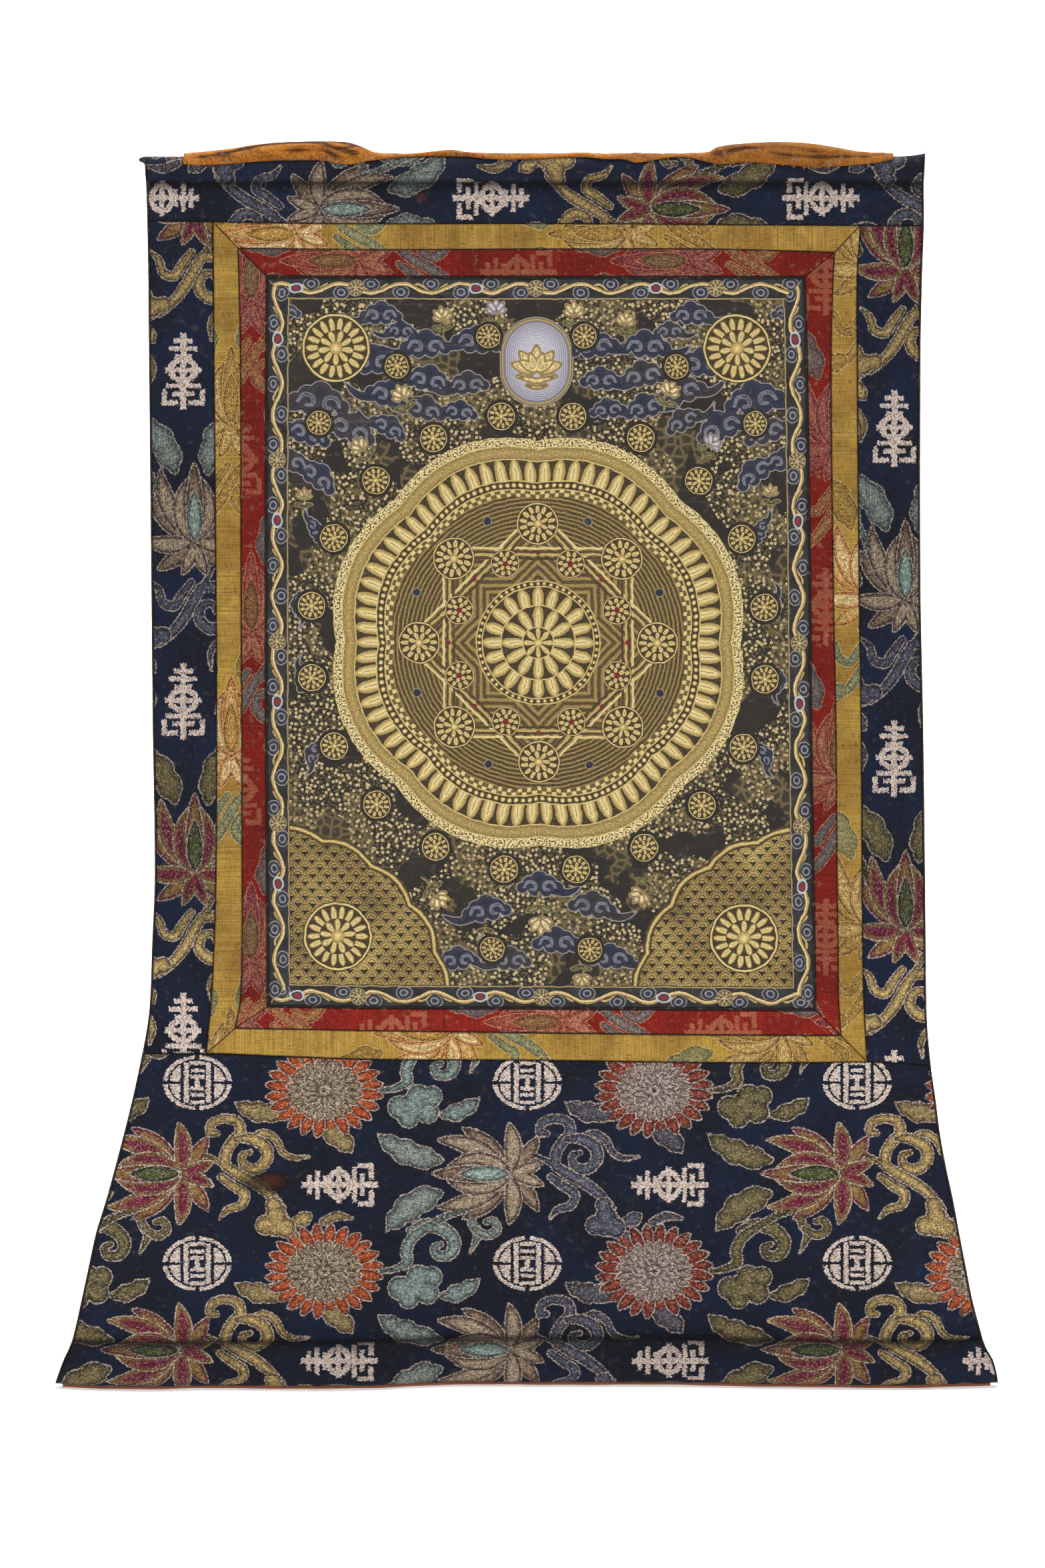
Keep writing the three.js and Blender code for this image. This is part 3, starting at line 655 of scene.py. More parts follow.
def useGroup(tree, group, *items):
    node = tree.nodes.new("ShaderNodeGroup")
    node.node_tree = group
    for item, socket in zip(items, node.inputs):
        plug(tree, rgba(item) if isinstance(item, tuple) and len(item) == 3 else item, socket)
    found = [Signal(tree, socket) for socket in node.outputs]
    return found[0] if len(found) == 1 else found


# Threads: a random value for each thread crossing, the rounded height of the weave, and streaks
# along the weft
def threadWork(cloth, across, down):
    p, q, _ = split(cloth)
    column, row = p / across, q / down
    cell = speckle(join(column.does("FLOOR"), row.does("FLOOR"), 0.0))
    warp, weft = (column.wrap(0, 1) - 0.5).abs(), (row.wrap(0, 1) - 0.5).abs()
    height = 1 - 2 * warp * warp - 2 * weft * weft
    streak = noise(join(p * 0.03, q * 0.9, 0.0), 1.0, 2.0)
    return cell, height, streak


threads = newGroup("threads", {"Cloth": "vector", "Across": "value", "Down": "value"},
                   {"Cell": "value", "Height": "value", "Streak": "value"}, threadWork)


# One layer of woven figures laid over the colour beneath it: ragged by the thread crossings, with an
# outline of pale thread on both sides of its edge
def layerWork(under, raised, fill, distance, cell, outline, width):
    ragged = distance + (cell - 0.5) * 0.95
    inside = ragged.above(0.0)
    shadow = (ragged - width * 2.6).abs().below(width * 0.9)
    bands = (ragged * 0.52).wrap(-0.5, 0.5).abs().ramp(0.12, 0.38, 1.2, 0.6)
    deep = blend(shadow * 0.5, blend(1.0, fill, grey(bands), "MULTIPLY"), (22, 18, 20))
    pale = blend(cell.ramp(0.8, 0.9) * 0.5, deep, outline)
    colour = blend(inside, under, pale)
    line = ragged.abs().below(width)
    return blend(line, colour, outline), choose(line, raised.most(inside * 0.7), 1.0)


wovenLayer = newGroup(
    "wovenLayer", {"Under": "colour", "Raised": "value", "Fill": "colour", "Distance": "value",
                   "Cell": "value", "Outline": "colour", "Width": "value"},
    {"Colour": "colour", "Raised": "value"}, layerWork)


# Age: slow patches that darken and warm the cloth, and small pale rubbed spots
def ageWork(colour, place, amount):
    patches = noise(place, 7.0, 3.0).ramp(0.3, 0.72)
    fine = noise(place, 160.0, 2.0).ramp(0.25, 0.75)
    dull = blend(patches * amount, colour, (60, 42, 30), "MULTIPLY")
    worn = fine.ramp(0.7, 1.0) * amount * 0.5
    dull = blend(patches * 0.35 * amount, colour, dull)
    rubbed = blend(worn, dull, (196, 178, 154))
    return [blend(fine * amount * 0.4, rubbed, (150, 140, 128), "OVERLAY")]


ageing = newGroup("ageing", {"Colour": "colour", "Place": "vector", "Amount": "value"},
                  {"Colour": "colour"}, ageWork)


# Bars of the brocade's fret ornaments, in pattern millimetres: middle across and up, and half sizes
roundelBars = [(9.8, 0.0, 2.1, 22.5), (3.0, 22.0, 3.6, 2.0), (0.0, 13.6, 6.0, 1.9), (0.0, 0.0, 2.0, 9.0),
               (3.0, 6.6, 3.2, 1.9)]
longBars = [(0.0, 0.0, 34.0, 2.5), (-27.0, 0.0, 2.0, 8.5), (-20.0, 0.0, 2.0, 12.5), (-13.0, 0.0, 1.8, 7.5),
            (-1.0, 0.0, 2.2, 16.0), (13.0, 0.0, 2.0, 15.5), (20.0, 0.0, 2.0, 9.5), (28.0, 12.0, 2.2, 7.0),
            (22.5, 17.0, 6.5, 2.1)]
longBarAt = (127.0, -91.0)


# The distance into a row of bars, which is that of the bar that holds the point deepest
def intoBars(x, y, bars):
    total = None
    for middleX, middleY, wide, tall in bars:
        into = (wide - (x - middleX).abs()).least(tall - (y - middleY).abs())
        total = into if total is None else total.most(into)
    return total


# A round ornament folded about both its axes, and a long one of upright bars folded about its length
def ornamentWork(cloth):
    p, q, _ = split(cloth)
    halfWide, halfTall = repeat["wide"] / 2, repeat["tall"] / 2
    x = p.wrap(-halfWide, halfWide).abs()
    y = q.wrap(-halfTall, halfTall).abs() * 1.26
    radius = hypot(x, y)
    ring = (1.9 - (radius - 28.6).abs()).least((x - 2.2).least(y - 2.2))
    crescent = (24.6 - radius).least(x - 15.2).least(y - 1.6)
    roundel = ring.most(crescent).most(intoBars(x, y, roundelBars))
    u = (p - longBarAt[0]).wrap(-halfWide, halfWide)
    v = (q - longBarAt[1]).wrap(-halfTall, halfTall).abs()
    loop = 2.3 - (hypot(u + 1.0, v * 0.85) - 9.5).abs()
    return [roundel.most(intoBars(u, v, longBars).most(loop))]


ornaments = newGroup("ornaments", {"Cloth": "vector"}, {"Distance": "value"}, ornamentWork)


def newMaterial(name, roughness, specular, sheen=0.0):
    material = bpy.data.materials.new(name)
    material.use_nodes = True
    tree = material.node_tree
    shader = tree.nodes["Principled BSDF"]
    shader.inputs["Roughness"].default_value = roughness
    shader.inputs["Sheen Weight"].default_value = sheen
    shader.inputs["Specular IOR Level"].default_value = specular
    return material, tree, shader


# The end of a material: its colour, and its relief as a bump
def dress(tree, shader, colour, relief, strength, distance):
    node = tree.nodes.new("ShaderNodeBump")
    plug(tree, relief, node.inputs["Height"])
    node.inputs["Strength"].default_value = strength
    node.inputs["Distance"].default_value = distance
    tree.links.new(node.outputs[0], shader.inputs["Normal"])
    plug(tree, colour, shader.inputs["Base Color"])


def objectPlace(tree):
    node = tree.nodes.new("ShaderNodeTexCoord")
    return Signal(tree, node.outputs["Object"])


# The ground of a woven silk: streaks, slow patches, flecks, ribs, and darker threads across the ribs
def wovenGround(look, cloth, ribbed, cell, height, streak):
    ground = blend(streak.ramp(0.34, 0.66), look["ground"], look["groundLight"])
    ground = blend(noise(cloth, 0.014, 3.0).ramp(0.42, 0.62) * look["patch"], ground, look["patchColour"])
    ground = blend(noise(cloth, 0.045, 2.0).ramp(0.5, 0.75) * look["mottle"], ground, look["gap"])
    ground = blend(cell.ramp(0.86, 1.0) * look["fleck"], ground, look["outline"])
    ground = blend(height.ramp(0.55, 1.0) * -0.5 + 0.5, ground, look["gap"])
    ribP, ribQ, _ = split(ribbed)
    crossed = noise(join(ribP * 1.1, ribQ * 0.13, 5.0), 1.0, 2.0)
    return blend(crossed.ramp(0.56, 0.66) * look["crossed"], ground, look["gap"])


# Marks in the brocade: a burn with rust round it on the lower left, in pattern millimetres, and a
# stain on the top strip, in metres
stains = {"burn": (-232.0, -89.0), "burnSize": 24.0, "rust": (-228.0, -88.0), "rustSize": 11.0,
          "stain": (-0.102, -0.036), "stainSize": 6.5}


def stained(colour, cloth, place):
    p, q, _ = split(cloth)
    x, _, z = split(place)
    ragged = noise(cloth, 0.16, 3.0) * 9.0
    burnAway = hypot((p - stains["burn"][0]) * 0.42, q - stains["burn"][1]) * 1.7
    burn = (stains["burnSize"] - burnAway - ragged).ramp(-2.0, 8.0)
    rustAway = hypot((p - stains["rust"][0]) * 0.5, q - stains["rust"][1])
    rust = (stains["rustSize"] - rustAway - ragged).ramp(-1.0, 4.0)
    stainAway = hypot((x - stains["stain"][0]) * 700, (z - stains["stain"][1]) * 1000)
    stain = (stains["stainSize"] - stainAway - ragged * 0.6).ramp(-1.0, 2.0)
    colour = blend(burn * 0.85, colour, (24, 17, 18))
    return blend((rust * 0.5).most(stain * 0.5), colour, (92, 44, 22))


# Woven silk: its ground, four layers of figures, the ornaments, marks, and age
def wovenMaterial(name, look):
    material, tree, shader = newMaterial(name, look["rough"], 0.16)
    cloth, place = attribute(tree, "cloth")["Vector"], objectPlace(tree)
    p, q, _ = split(cloth)
    up = split(place)[2]
    ribbed = join(q, p, 0.0) if look["turned"] else cloth
    cell, height, streak = useGroup(tree, threads, ribbed, look["across"], look["down"])
    ground = wovenGround(look, cloth, ribbed, cell, height, streak)
    colour, raised = ground, height * 0.0
    light = up.ramp(-0.7, -0.69, look["lightBelow"], look["lightAbove"])
    worked = noise(cloth, 0.3, 2.0).ramp(0.35, 0.65, 0.7, 1.25)
    for layer in range(4):
        found = attribute(tree, f"layer{layer}")
        shade = cell.ramp(0.0, 1.0, 0.4, 1.5) * streak.ramp(0.3, 0.7, 0.8, 1.2) * worked * light
        fill = blend(look["fade"], blend(1.0, found["Color"], grey(shade), "MULTIPLY"), ground)
        line = blend(0.3, look["outline"], found["Color"])
        line = blend((cell * 13.7).wrap(0, 1).below(0.4) * 0.85, line, look["outlineDark"])
        line = blend(1.0, line, grey(light), "MULTIPLY")
        colour, raised = useGroup(tree, wovenLayer, colour, raised, fill, found["Alpha"], cell, line,
                                  look["line"])
    if look["ornament"] > 0:
        worn = useGroup(tree, ornaments, cloth) + (cell - 0.5) * 1.5
        pale = blend(cell.ramp(0.1, 0.7), look["ornamentDark"], look["ornamentPale"])
        mask = worn.above(0.0) * look["ornament"]
        colour = blend(mask, colour, blend(1.0, pale, grey(light * 0.5 + 0.53), "MULTIPLY"))
        raised = raised.most(mask)
    if look["singed"]:
        colour = stained(colour, cloth, place)
    # Painted shade: the cloth darkens to the look's seam colour towards its seams, edges and hem creases
    colour = blend(attribute(tree, "edge")["Fac"].ramp(0.3, 1.4, 0.88, 0.0), colour, look["seam"])
    # Painted light on the gold and red foot strips, painted shade on the navy hem
    nearFoot = up.ramp(look["footFrom"], look["footFrom"] - 0.02, 1.0, look["footLight"])
    colour = blend(1.0, colour, grey(nearFoot), "MULTIPLY")
    colour = useGroup(tree, ageing, colour, place, look["age"])
    rough = raised.ramp(0.0, 1.0, look["rough"], look["rough"] - 0.12)
    plug(tree, rough, shader.inputs["Roughness"])
    dress(tree, shader, colour, raised * 0.9 + height * 0.35 + cell * 0.3, 0.75, 0.00035)
    return material


# The three silks. Below footFrom the whole cloth takes footLight, a painted light on the gold and red
# foot strips and a painted shade on the navy hem; seam is the colour of the painted shade at seams,
# edges and hem creases; lightAbove and lightBelow are the raised threads' own light above and below
# the panel's seam, and turned lays the ribs the other way
looks = {
    "navy": {
        "across": 1.25, "down": 0.8, "turned": False, "ground": (19, 21, 32), "groundLight": (28, 34, 52),
        "gap": (12, 13, 21), "patch": 0.75, "patchColour": (23, 38, 68), "mottle": 0.25, "fleck": 0.02,
        "crossed": 0.3, "outline": (230, 210, 194), "outlineDark": (64, 52, 48), "line": 0.56,
        "fade": 0.06, "lightAbove": 0.6, "lightBelow": 0.88, "ornament": 1.0,
        "ornamentPale": (232, 214, 202), "ornamentDark": (146, 126, 116), "singed": True,
        "seam": (9, 8, 9), "footFrom": -1.04, "footLight": 0.84, "age": 0.1, "rough": 0.72,
    },
    "gold": {
        "across": 1.1, "down": 0.8, "turned": True, "ground": (170, 132, 52),
        "groundLight": (226, 188, 90), "gap": (104, 74, 26), "patch": 0.5, "patchColour": (134, 90, 40),
        "mottle": 0.45, "fleck": 0.3, "crossed": 0.7, "outline": (222, 190, 122),
        "outlineDark": (150, 116, 56), "line": 0.45, "fade": 0.24, "lightAbove": 1.0, "lightBelow": 0.95,
        "ornament": 0.0, "singed": False, "seam": (30, 20, 8), "footFrom": -0.745, "footLight": 1.16,
        "age": 0.4, "rough": 0.66,
    },
    "red": {
        "across": 1.0, "down": 0.7, "turned": True, "ground": (122, 21, 13), "groundLight": (158, 35, 22),
        "gap": (76, 13, 9), "patch": 0.4, "patchColour": (92, 18, 14), "mottle": 0.35, "fleck": 0.2,
        "crossed": 0.45, "outline": (200, 134, 94), "outlineDark": (120, 44, 32), "line": 0.45,
        "fade": 0.34, "lightAbove": 0.96, "lightBelow": 0.96, "ornament": 0.4,
        "ornamentPale": (186, 128, 92), "ornamentDark": (146, 84, 60), "singed": False,
        "seam": (18, 7, 6), "footFrom": -0.745, "footLight": 1.38, "age": 0.35, "rough": 0.66,
    },
}
brocadeFace = wovenMaterial("brocadeSilk", looks["navy"])
goldFace = wovenMaterial("yellowSilk", looks["gold"])
redFace = wovenMaterial("redSilk", looks["red"])


# Plain cloth: a weave on Object coordinates with patches of a second colour
def plainMaterial(name, colour, second, pitch=0.7):
    material, tree, shader = newMaterial(name, 0.85, 0.25, 0.1)
    place = objectPlace(tree)
    x, _, z = split(place)
    cell, height, streak = useGroup(tree, threads, join(x * 1000, z * 1000, 0.0), pitch, pitch)
    base = blend(streak.ramp(0.25, 0.75), colour, second)
    base = blend(cell.ramp(0.0, 1.0, 0.0, 0.22), base, second)
    base = useGroup(tree, ageing, base, place, 0.4)
    dress(tree, shader, base, height + cell * 0.4, 0.6, 0.0002)
    return material


brocadeBack = plainMaterial("brocadeWrongSide", (52, 48, 58), (84, 72, 62))
goldBack = plainMaterial("yellowWrongSide", (150, 122, 70), (122, 96, 54))
redBack = plainMaterial("redWrongSide", (124, 52, 42), (98, 36, 30))
canvasBack = plainMaterial("rawCotton", (186, 172, 144), (160, 144, 116), 1.0)
pipingCloth = plainMaterial("pipingCloth", (22, 18, 20), (44, 34, 30), 0.8)
bindingThread = plainMaterial("bindingThread", (30, 22, 20), (64, 50, 42), 0.6)
liningCloth = plainMaterial("liningCloth", (196, 122, 88), (160, 104, 80), 0.7)
print("materials ready")


# Distance to a sheet's edges and creases, which the silks use for painted shade there
def edgeShadeAttribute(distance):
    return ("edge", "FLOAT", np.minimum(distance, 8.0)[..., None])


# A sheet on the cloth's own depth: points across and down give x and z, and front and back lie half
# a thickness either side, with the face falling back at its turned edges
def clothSheet(name, x, z, thick, distance, relief, materials, attributes):
    middle = clothDepth(x, z) - creaseHeight(x, z)
    front = np.stack([x, middle - thick / 2 + edgeTurn(distance) - relief, z], -1)
    back = np.stack([x, middle + thick / 2, z], -1)
    return sheetMesh(name, front, back, materials, [*attributes, edgeShadeAttribute(distance)])


def stripPitch():
    return 1.2


# A mitred strip between two seams: points run along both seams, and rows join them straight across
def stripGrid(side, outer, inner, alongShares, acrossShares):
    first, second = outer(alongShares), inner(alongShares)
    if side in ("foot", "right"):
        first, second = second, first
    if side in ("top", "foot"):
        x, z = (mix(a[None, :], b[None, :], acrossShares[:, None]) for a, b in zip(first, second))
        return x, z, x
    x, z = (mix(a[:, None], b[:, None], acrossShares[None, :]) for a, b in zip(first, second))
    return x, z, z


# The run of a seam between two corners, moved by shift to its own side and trimmed along the mitre
def acrossRun(line, start, end, shift, trim):
    def run(u):
        x = mix(start[0] + trim, end[0] - trim, u)
        return x, line(x) + shift
    return run


def downRun(line, start, end, shift, trim):
    def run(u):
        z = mix(start[1] - trim, end[1] + trim, u)
        return line(z) + shift, z
    return run


def moved(line, by):
    return lambda at: line(at) + by


def corners(sides):
    found = {}
    for key, down, across in (("tl", "left", "top"), ("tr", "right", "top"), ("bl", "left", "foot"),
                              ("br", "right", "foot")):
        x, z = crossing(sides[down], sides[across])
        found[key] = (x[0], z[0])
    return found


frames = {
    name: {side: lines[line] for side, line in zip(("left", "right", "top", "foot"), names)}
    for name, names in (
        ("yellow", ("yellowL", "yellowR", "strip", "panel")), ("red", ("redL", "redR", "redTop", "redFoot")),
        ("paint", ("paintL", "paintR", "paintTop", "paintFoot")))
}
frames["piped"] = {
    side: moved(frames["paint"][side], by)
    for side, by in (("left", pipe), ("right", -pipe), ("top", -pipe), ("foot", pipe))
}


# The outer and inner runs of each side of a mitred frame
def sideRuns(outerSides, innerSides):
    outer, inner = corners(outerSides), corners(innerSides)
    trim = make["seamGap"] * 0.75
    rows = [("top", acrossRun, "tl", "tr", -half), ("foot", acrossRun, "bl", "br", half),
            ("left", downRun, "tl", "bl", half), ("right", downRun, "tr", "br", -half)]
    runs = {}
    for side, run, a, b, shift in rows:
        runs[side] = (run(outerSides[side], outer[a], outer[b], shift, trim),
                      run(innerSides[side], inner[a], inner[b], -shift, trim))
    return runs


# The strips' threads, and how far their pattern is moved on each side
stripPatterns = {
    "yellow": {"threads": goldThreads, "top": (198, -12), "foot": (60, 700), "left": (40, 190),
               "right": (180, -380)},
    "red": {"threads": redThreads, "top": (142, 12), "foot": (-40, 690), "left": (150, 172),
            "right": (20, -350)},
}


# The four strips of a mitred frame, each puckered at its seams, with a low round ridge along them
def makeStrips(prefix, outerName, innerName, materials):
    pattern = stripPatterns[prefix]
    for side, (outer, inner) in sideRuns(frames[outerName], frames[innerName]).items():
        level = side in ("top", "foot")
        (ax, az), (bx, bz) = outer(np.array([0.0, 1.0])), inner(np.array([0.0, 1.0]))
        long = float(np.hypot(ax[1] - ax[0], az[1] - az[0]))
        wide = float(abs(az[0] - bz[0]) if level else abs(ax[0] - bx[0]))
        alongShares, acrossShares = spaced(long, stripPitch(), 6), spaced(wide, stripPitch(), 6)
        x, z, place = stripGrid(side, outer, inner, alongShares, acrossShares)
        u, v = alongShares * long, acrossShares * wide
        if not level:
            u, v = v, u
        fromSides = np.minimum(v, v[-1] - v)[:, None] * np.ones_like(x)
        fromEnds = np.minimum(u, u[-1] - u)[None, :] * np.ones_like(x)
        seam = fromSides if level else fromEnds
        moveP, moveQ = pattern[side]
        p, q = (x + moveP, z + moveQ) if level else (-z + moveP, x + moveQ)
        field = wovenField(p, q, pattern["threads"])
        relief = wovenRelief(field, x.shape, 0.12) + puckers(seam, place, 0.22, 9.0, 4.0)
        relief = relief + 0.25 * np.exp(-(seam / 4.0 - 1.0) ** 2)
        distance = np.minimum(fromSides, fromEnds)
        piece = clothSheet(f"{prefix}_{side}_cloth", x, z, make["stripThick"], distance, relief, materials,
                           fieldAttributes(field, x.shape, p, q))
        middleWide = float(np.hypot(*(np.array(outer(0.5)) - np.array(inner(0.5)))))
        area = (long + np.hypot(bx[1] - bx[0], bz[1] - bz[0])) / 2 * middleWide * mm * mm
        settle(piece, f"{prefix}_{side}")


makeStrips("yellow", "yellow", "red", [goldFace, goldBack])
makeStrips("red", "red", "paint", [redFace, redBack])
print("strips ready")


# Where a lengthwise line meets each row: the row's height is followed until it settles
def rowEnds(heightAt, rows, line, start):
    z = heightAt(rows, np.full(rows.shape, start))
    for _ in range(6):
        z = heightAt(rows, line(z))
    return line(z)


# Brocade: rows run down from an upper to a lower line, and columns from binding to binding
def fullGrid(heightAt, rows, columns):
    left = rowEnds(heightAt, rows, lines["edgeL"], -340.0) + bound
    right = rowEnds(heightAt, rows, lines["edgeR"], 340.0) - bound
    x = mix(left[:, None], right[:, None], columns[None, :])
    return x, heightAt(rows[:, None] * np.ones_like(x), x)


# A hem's section: half an ellipse from its crease (0) to its outer edge (1)
def hemHalf(share, deep):
    return np.maximum(deep / 2 * np.sin(np.pi * share), make["hemTip"] / 2)


def creaseLine(x):
    return footAt(x) + make["liningTall"] + make["seamGap"] + make["footHemTall"]


# Length along the round face of a hem from its crease, at each share of the half turn
def hemArc(tall, deep, share):
    fine = np.linspace(0, 1, 400)
    z, y = tall * (1 - np.cos(np.pi * fine)) / 2, hemHalf(fine, deep)
    run = np.concatenate([[0], np.cumsum(np.hypot(np.diff(z), np.diff(y)))])
    return np.interp(share, fine, run)


# Rows from the flat part into the hem, as two shares: down the flat part, then round the hem
def hemmedRows(flatLong, tall, deep, pitch, coarse):
    arc = hemArc(tall, deep, np.array([1.0]))[0]
    rows = spaced(flatLong + arc, pitch, coarse) * (flatLong + arc)
    fine = np.linspace(0, 1, 400)
    round01 = np.interp(np.maximum(rows - flatLong, 0), hemArc(tall, deep, fine), fine)
    return np.minimum(rows / flatLong, 1), round01, rows


def panelPitch(fine):
    return fine


# How far a hemmed sheet's faces stand from its middle: round the hem, and half the cloth elsewhere
def hemBulge(round01, deep, like):
    rolled = np.maximum(hemHalf(round01, deep), 1.0 - 0.4 * round01)
    return np.where(round01 > 0, rolled, make["brocadeThick"] / 2)[:, None] * np.ones_like(like)


# A sheet with a hem. The crease counts as an edge, so that painted shade darkens the cloth towards
# it: fast on its flat side, and slowly, by 1 in spread, round the hem
def hemmedSheet(name, x, z, bulge, nearEdge, fromCrease, spread, relief, marks):
    nearCrease = 0.35 + np.where(fromCrease > 0, fromCrease / 4, -fromCrease / spread)
    middle = clothDepth(x, z) - creaseHeight(x, z)
    front = np.stack([x, middle - bulge + edgeTurn(nearEdge) - relief, z], -1)
    back = np.stack([x, clothDepth(x, z) + bulge, z], -1)
    marks = [*marks, edgeShadeAttribute(np.minimum(nearEdge, nearCrease))]
    return sheetMesh(name, front, back, [brocadeFace, brocadeBack], marks)


# Foot panel: flat cloth that flares down to its crease, then a hem round a half ellipse. It puckers
# at its seam and sides, and a row of stitches pulls it in above the hem
def makeFootPanel():
    tall, deep = make["footHemTall"], make["footHemDeep"]
    flat01, round01, run = hemmedRows(lengths["footFlat"], tall, deep, panelPitch(1.66), 6)
    columns = spaced(lengths["footWide"], panelPitch(1.66), 6)
    code = np.arange(len(flat01), dtype=float)

    def heightAt(row, x):
        down, turn = np.interp(row, code, flat01), np.interp(row, code, round01)
        return mix(lines["panel"](x) - half, creaseLine(x), down) - tall * (1 - np.cos(np.pi * turn)) / 2

    x, z = fullGrid(heightAt, code, columns)
    pastCrease = hemArc(tall, deep, round01)[:, None]
    moveP, moveQ = brocadePlaces["foot"]
    p, q = x + moveP, np.where(pastCrease > 0, creaseLine(x) - pastCrease, z) + moveQ
    field = wovenField(p, q, navyThreads)
    fromTop = run[:, None] * np.ones_like(x)
    fromSide = np.minimum(columns, 1 - columns)[None, :] * lengths["footWide"] * np.ones_like(x)
    fromCrease = z - creaseLine(x)
    relief = wovenRelief(field, x.shape) + puckers(fromTop, x, 0.35, 13.0, 8.0)
    relief = relief + puckers(fromSide, z, 0.35, 15.0, 9.0)
    relief = relief - 0.5 * np.exp(-(fromCrease / 5.0) ** 2) * (1 + 0.3 * np.sin(x / 4.1))
    piece = hemmedSheet("foot_panel", x, z, hemBulge(round01, deep, x), np.minimum(fromTop, fromSide),
                        fromCrease, 11, relief, fieldAttributes(field, x.shape, p, q))
    settle(piece, "brocade_foot")


# Top strip: the same the other way up, with its pattern upside down
def makeTopStrip():
    tall, deep = make["topHemTall"], make["topHemDeep"]
    flat01, round01, run = hemmedRows(lengths["topFlat"], tall, deep, panelPitch(1.15), 6)
    flat01, round01, run = flat01[::-1], round01[::-1], run[::-1]
    columns = spaced(lengths["topWide"], panelPitch(1.2), 6)
    code = np.arange(len(flat01), dtype=float)

    def heightAt(row, x):
        flat, turn = np.interp(row, code, flat01), np.interp(row, code, round01)
        hemZ = -tall + tall * (1 - np.cos(np.pi * turn)) / 2
        inHem = hemZ + lines["top"](x) * (hemZ / tall + 1)
        return np.where(turn > 0, inHem, mix(lines["strip"](x) + half, -tall, flat))

    x, z = fullGrid(heightAt, code, columns)
    pastCrease = hemArc(tall, deep, round01)[:, None]
    moveP, moveQ = brocadePlaces["top"]
    p, q = -x + moveP, -np.where(pastCrease > 0, -tall + pastCrease, z) + moveQ
    field = wovenField(p, q, navyThreads)
    fromFoot = run[:, None] * np.ones_like(x)
    fromSide = np.minimum(columns, 1 - columns)[None, :] * lengths["topWide"] * np.ones_like(x)
    relief = wovenRelief(field, x.shape) + puckers(fromFoot, x, 0.3, 12.0, 6.0)
    relief = relief - 0.4 * np.exp(-((z + tall) / 3.5) ** 2) * (1 + 0.3 * np.sin(x / 3.7))
    piece = hemmedSheet("top_strip", x, z, hemBulge(round01, deep, x), np.minimum(fromFoot, fromSide),
                        z + tall, 9, relief, fieldAttributes(field, x.shape, p, q))
    settle(piece, "brocade_top")


# Side strips: flat cloth between binding and yellow strip, its pattern turned by a quarter turn
def makeSideStrip(side, outwards):
    outer, inner = (lines[name + side[0].upper()] for name in ("edge", "yellow"))
    rows = spaced(lengths["sideTall"], panelPitch(1.25), 6)
    columns = spaced(lengths["sideWide"], panelPitch(1.25), 6)

    def heightAt(row, x):
        return mix(lines["strip"](x) - half, lines["panel"](x) + half, row)

    ends = [rowEnds(heightAt, rows, outer, 315.0 * outwards) - outwards * bound,
            rowEnds(heightAt, rows, inner, 315.0 * outwards) + outwards * half]
    left, right = ends if outwards < 0 else ends[::-1]
    x = mix(left[:, None], right[:, None], columns[None, :])
    z = heightAt(rows[:, None] * np.ones_like(x), x)
    moveP, moveQ = brocadePlaces[side]
    p, q = -z + moveP, x + moveQ
    field = wovenField(p, q, navyThreads)
    fromSide = np.minimum(columns, 1 - columns)[None, :] * lengths["sideWide"] * np.ones_like(x)
    fromEnd = np.minimum(rows, 1 - rows)[:, None] * lengths["sideTall"] * np.ones_like(x)
    relief = wovenRelief(field, x.shape) + puckers(fromSide, z, 0.3, 14.0, 7.0)
    distance = np.minimum(fromSide, fromEnd)
    piece = clothSheet(f"side_strip_{side}", x, z, make["brocadeThick"], distance, relief,
                       [brocadeFace, brocadeBack], fieldAttributes(field, x.shape, p, q))
    settle(piece, f"brocade_{side}")


makeFootPanel()
makeTopStrip()
makeSideStrip("left", -1)
makeSideStrip("right", 1)
print("brocade ready")


# Painting. Its ground is near black, and everything on it is worked out round the middle of the
# cloth: a lobed medallion of rings, two wreaths and four corner roundels of flowers, fans at its foot,
# cloud scrolls, flower sprays and a border
painted = {
    "acrossHalf": 241.0, "downHalf": 324.0, "border": 17.5,
    "medallion": 180.0, "lobes": 8, "lobeDeep": 0.045, "roundelX": 180.0, "roundelZ": 262.0, "roundel": 31.0,
    "fan": 158.0, "fanScale": 13.0, "star": 84.0, "budOut": 106.0, "bud": 19.0, "gemOut": 76.0, "gem": 13.0,
    "dotOut": 117.0, "vine": 54.0, "moonUp": 250.0, "moonWide": 29.0, "moonRim": 3.5,
    "moonTall": 7.0,
}
# The wreaths: distance from the middle, how many roundels, their size, and their turn by a share
wreaths = [(204.0, 20, 12.5, 0.5), (276.0, 20, 11.0, 0.5)]
# Rings of the medallion: inner and outer radius, how many forms, and which form
rings = [
    (172, 180, 0, "speckle"), (161, 172, 0, "band"), (142, 161, 74, "petal"), (134.5, 142, 150, "bead"),
    (128, 134.5, 96, "step"), (50, 55, 56, "bead"), (33, 50, 20, "petal"), (14, 33, 12, "petal"),
    (4, 14, 8, "petal"),
]
# Tones of the gold paint, from its outlines to its lights
goldTones = [(0.0, (36, 28, 17)), (0.2, (86, 68, 37)), (0.42, (141, 117, 66)), (0.62, (185, 158, 92)),
             (0.82, (232, 206, 132)), (1.0, (254, 238, 184))]


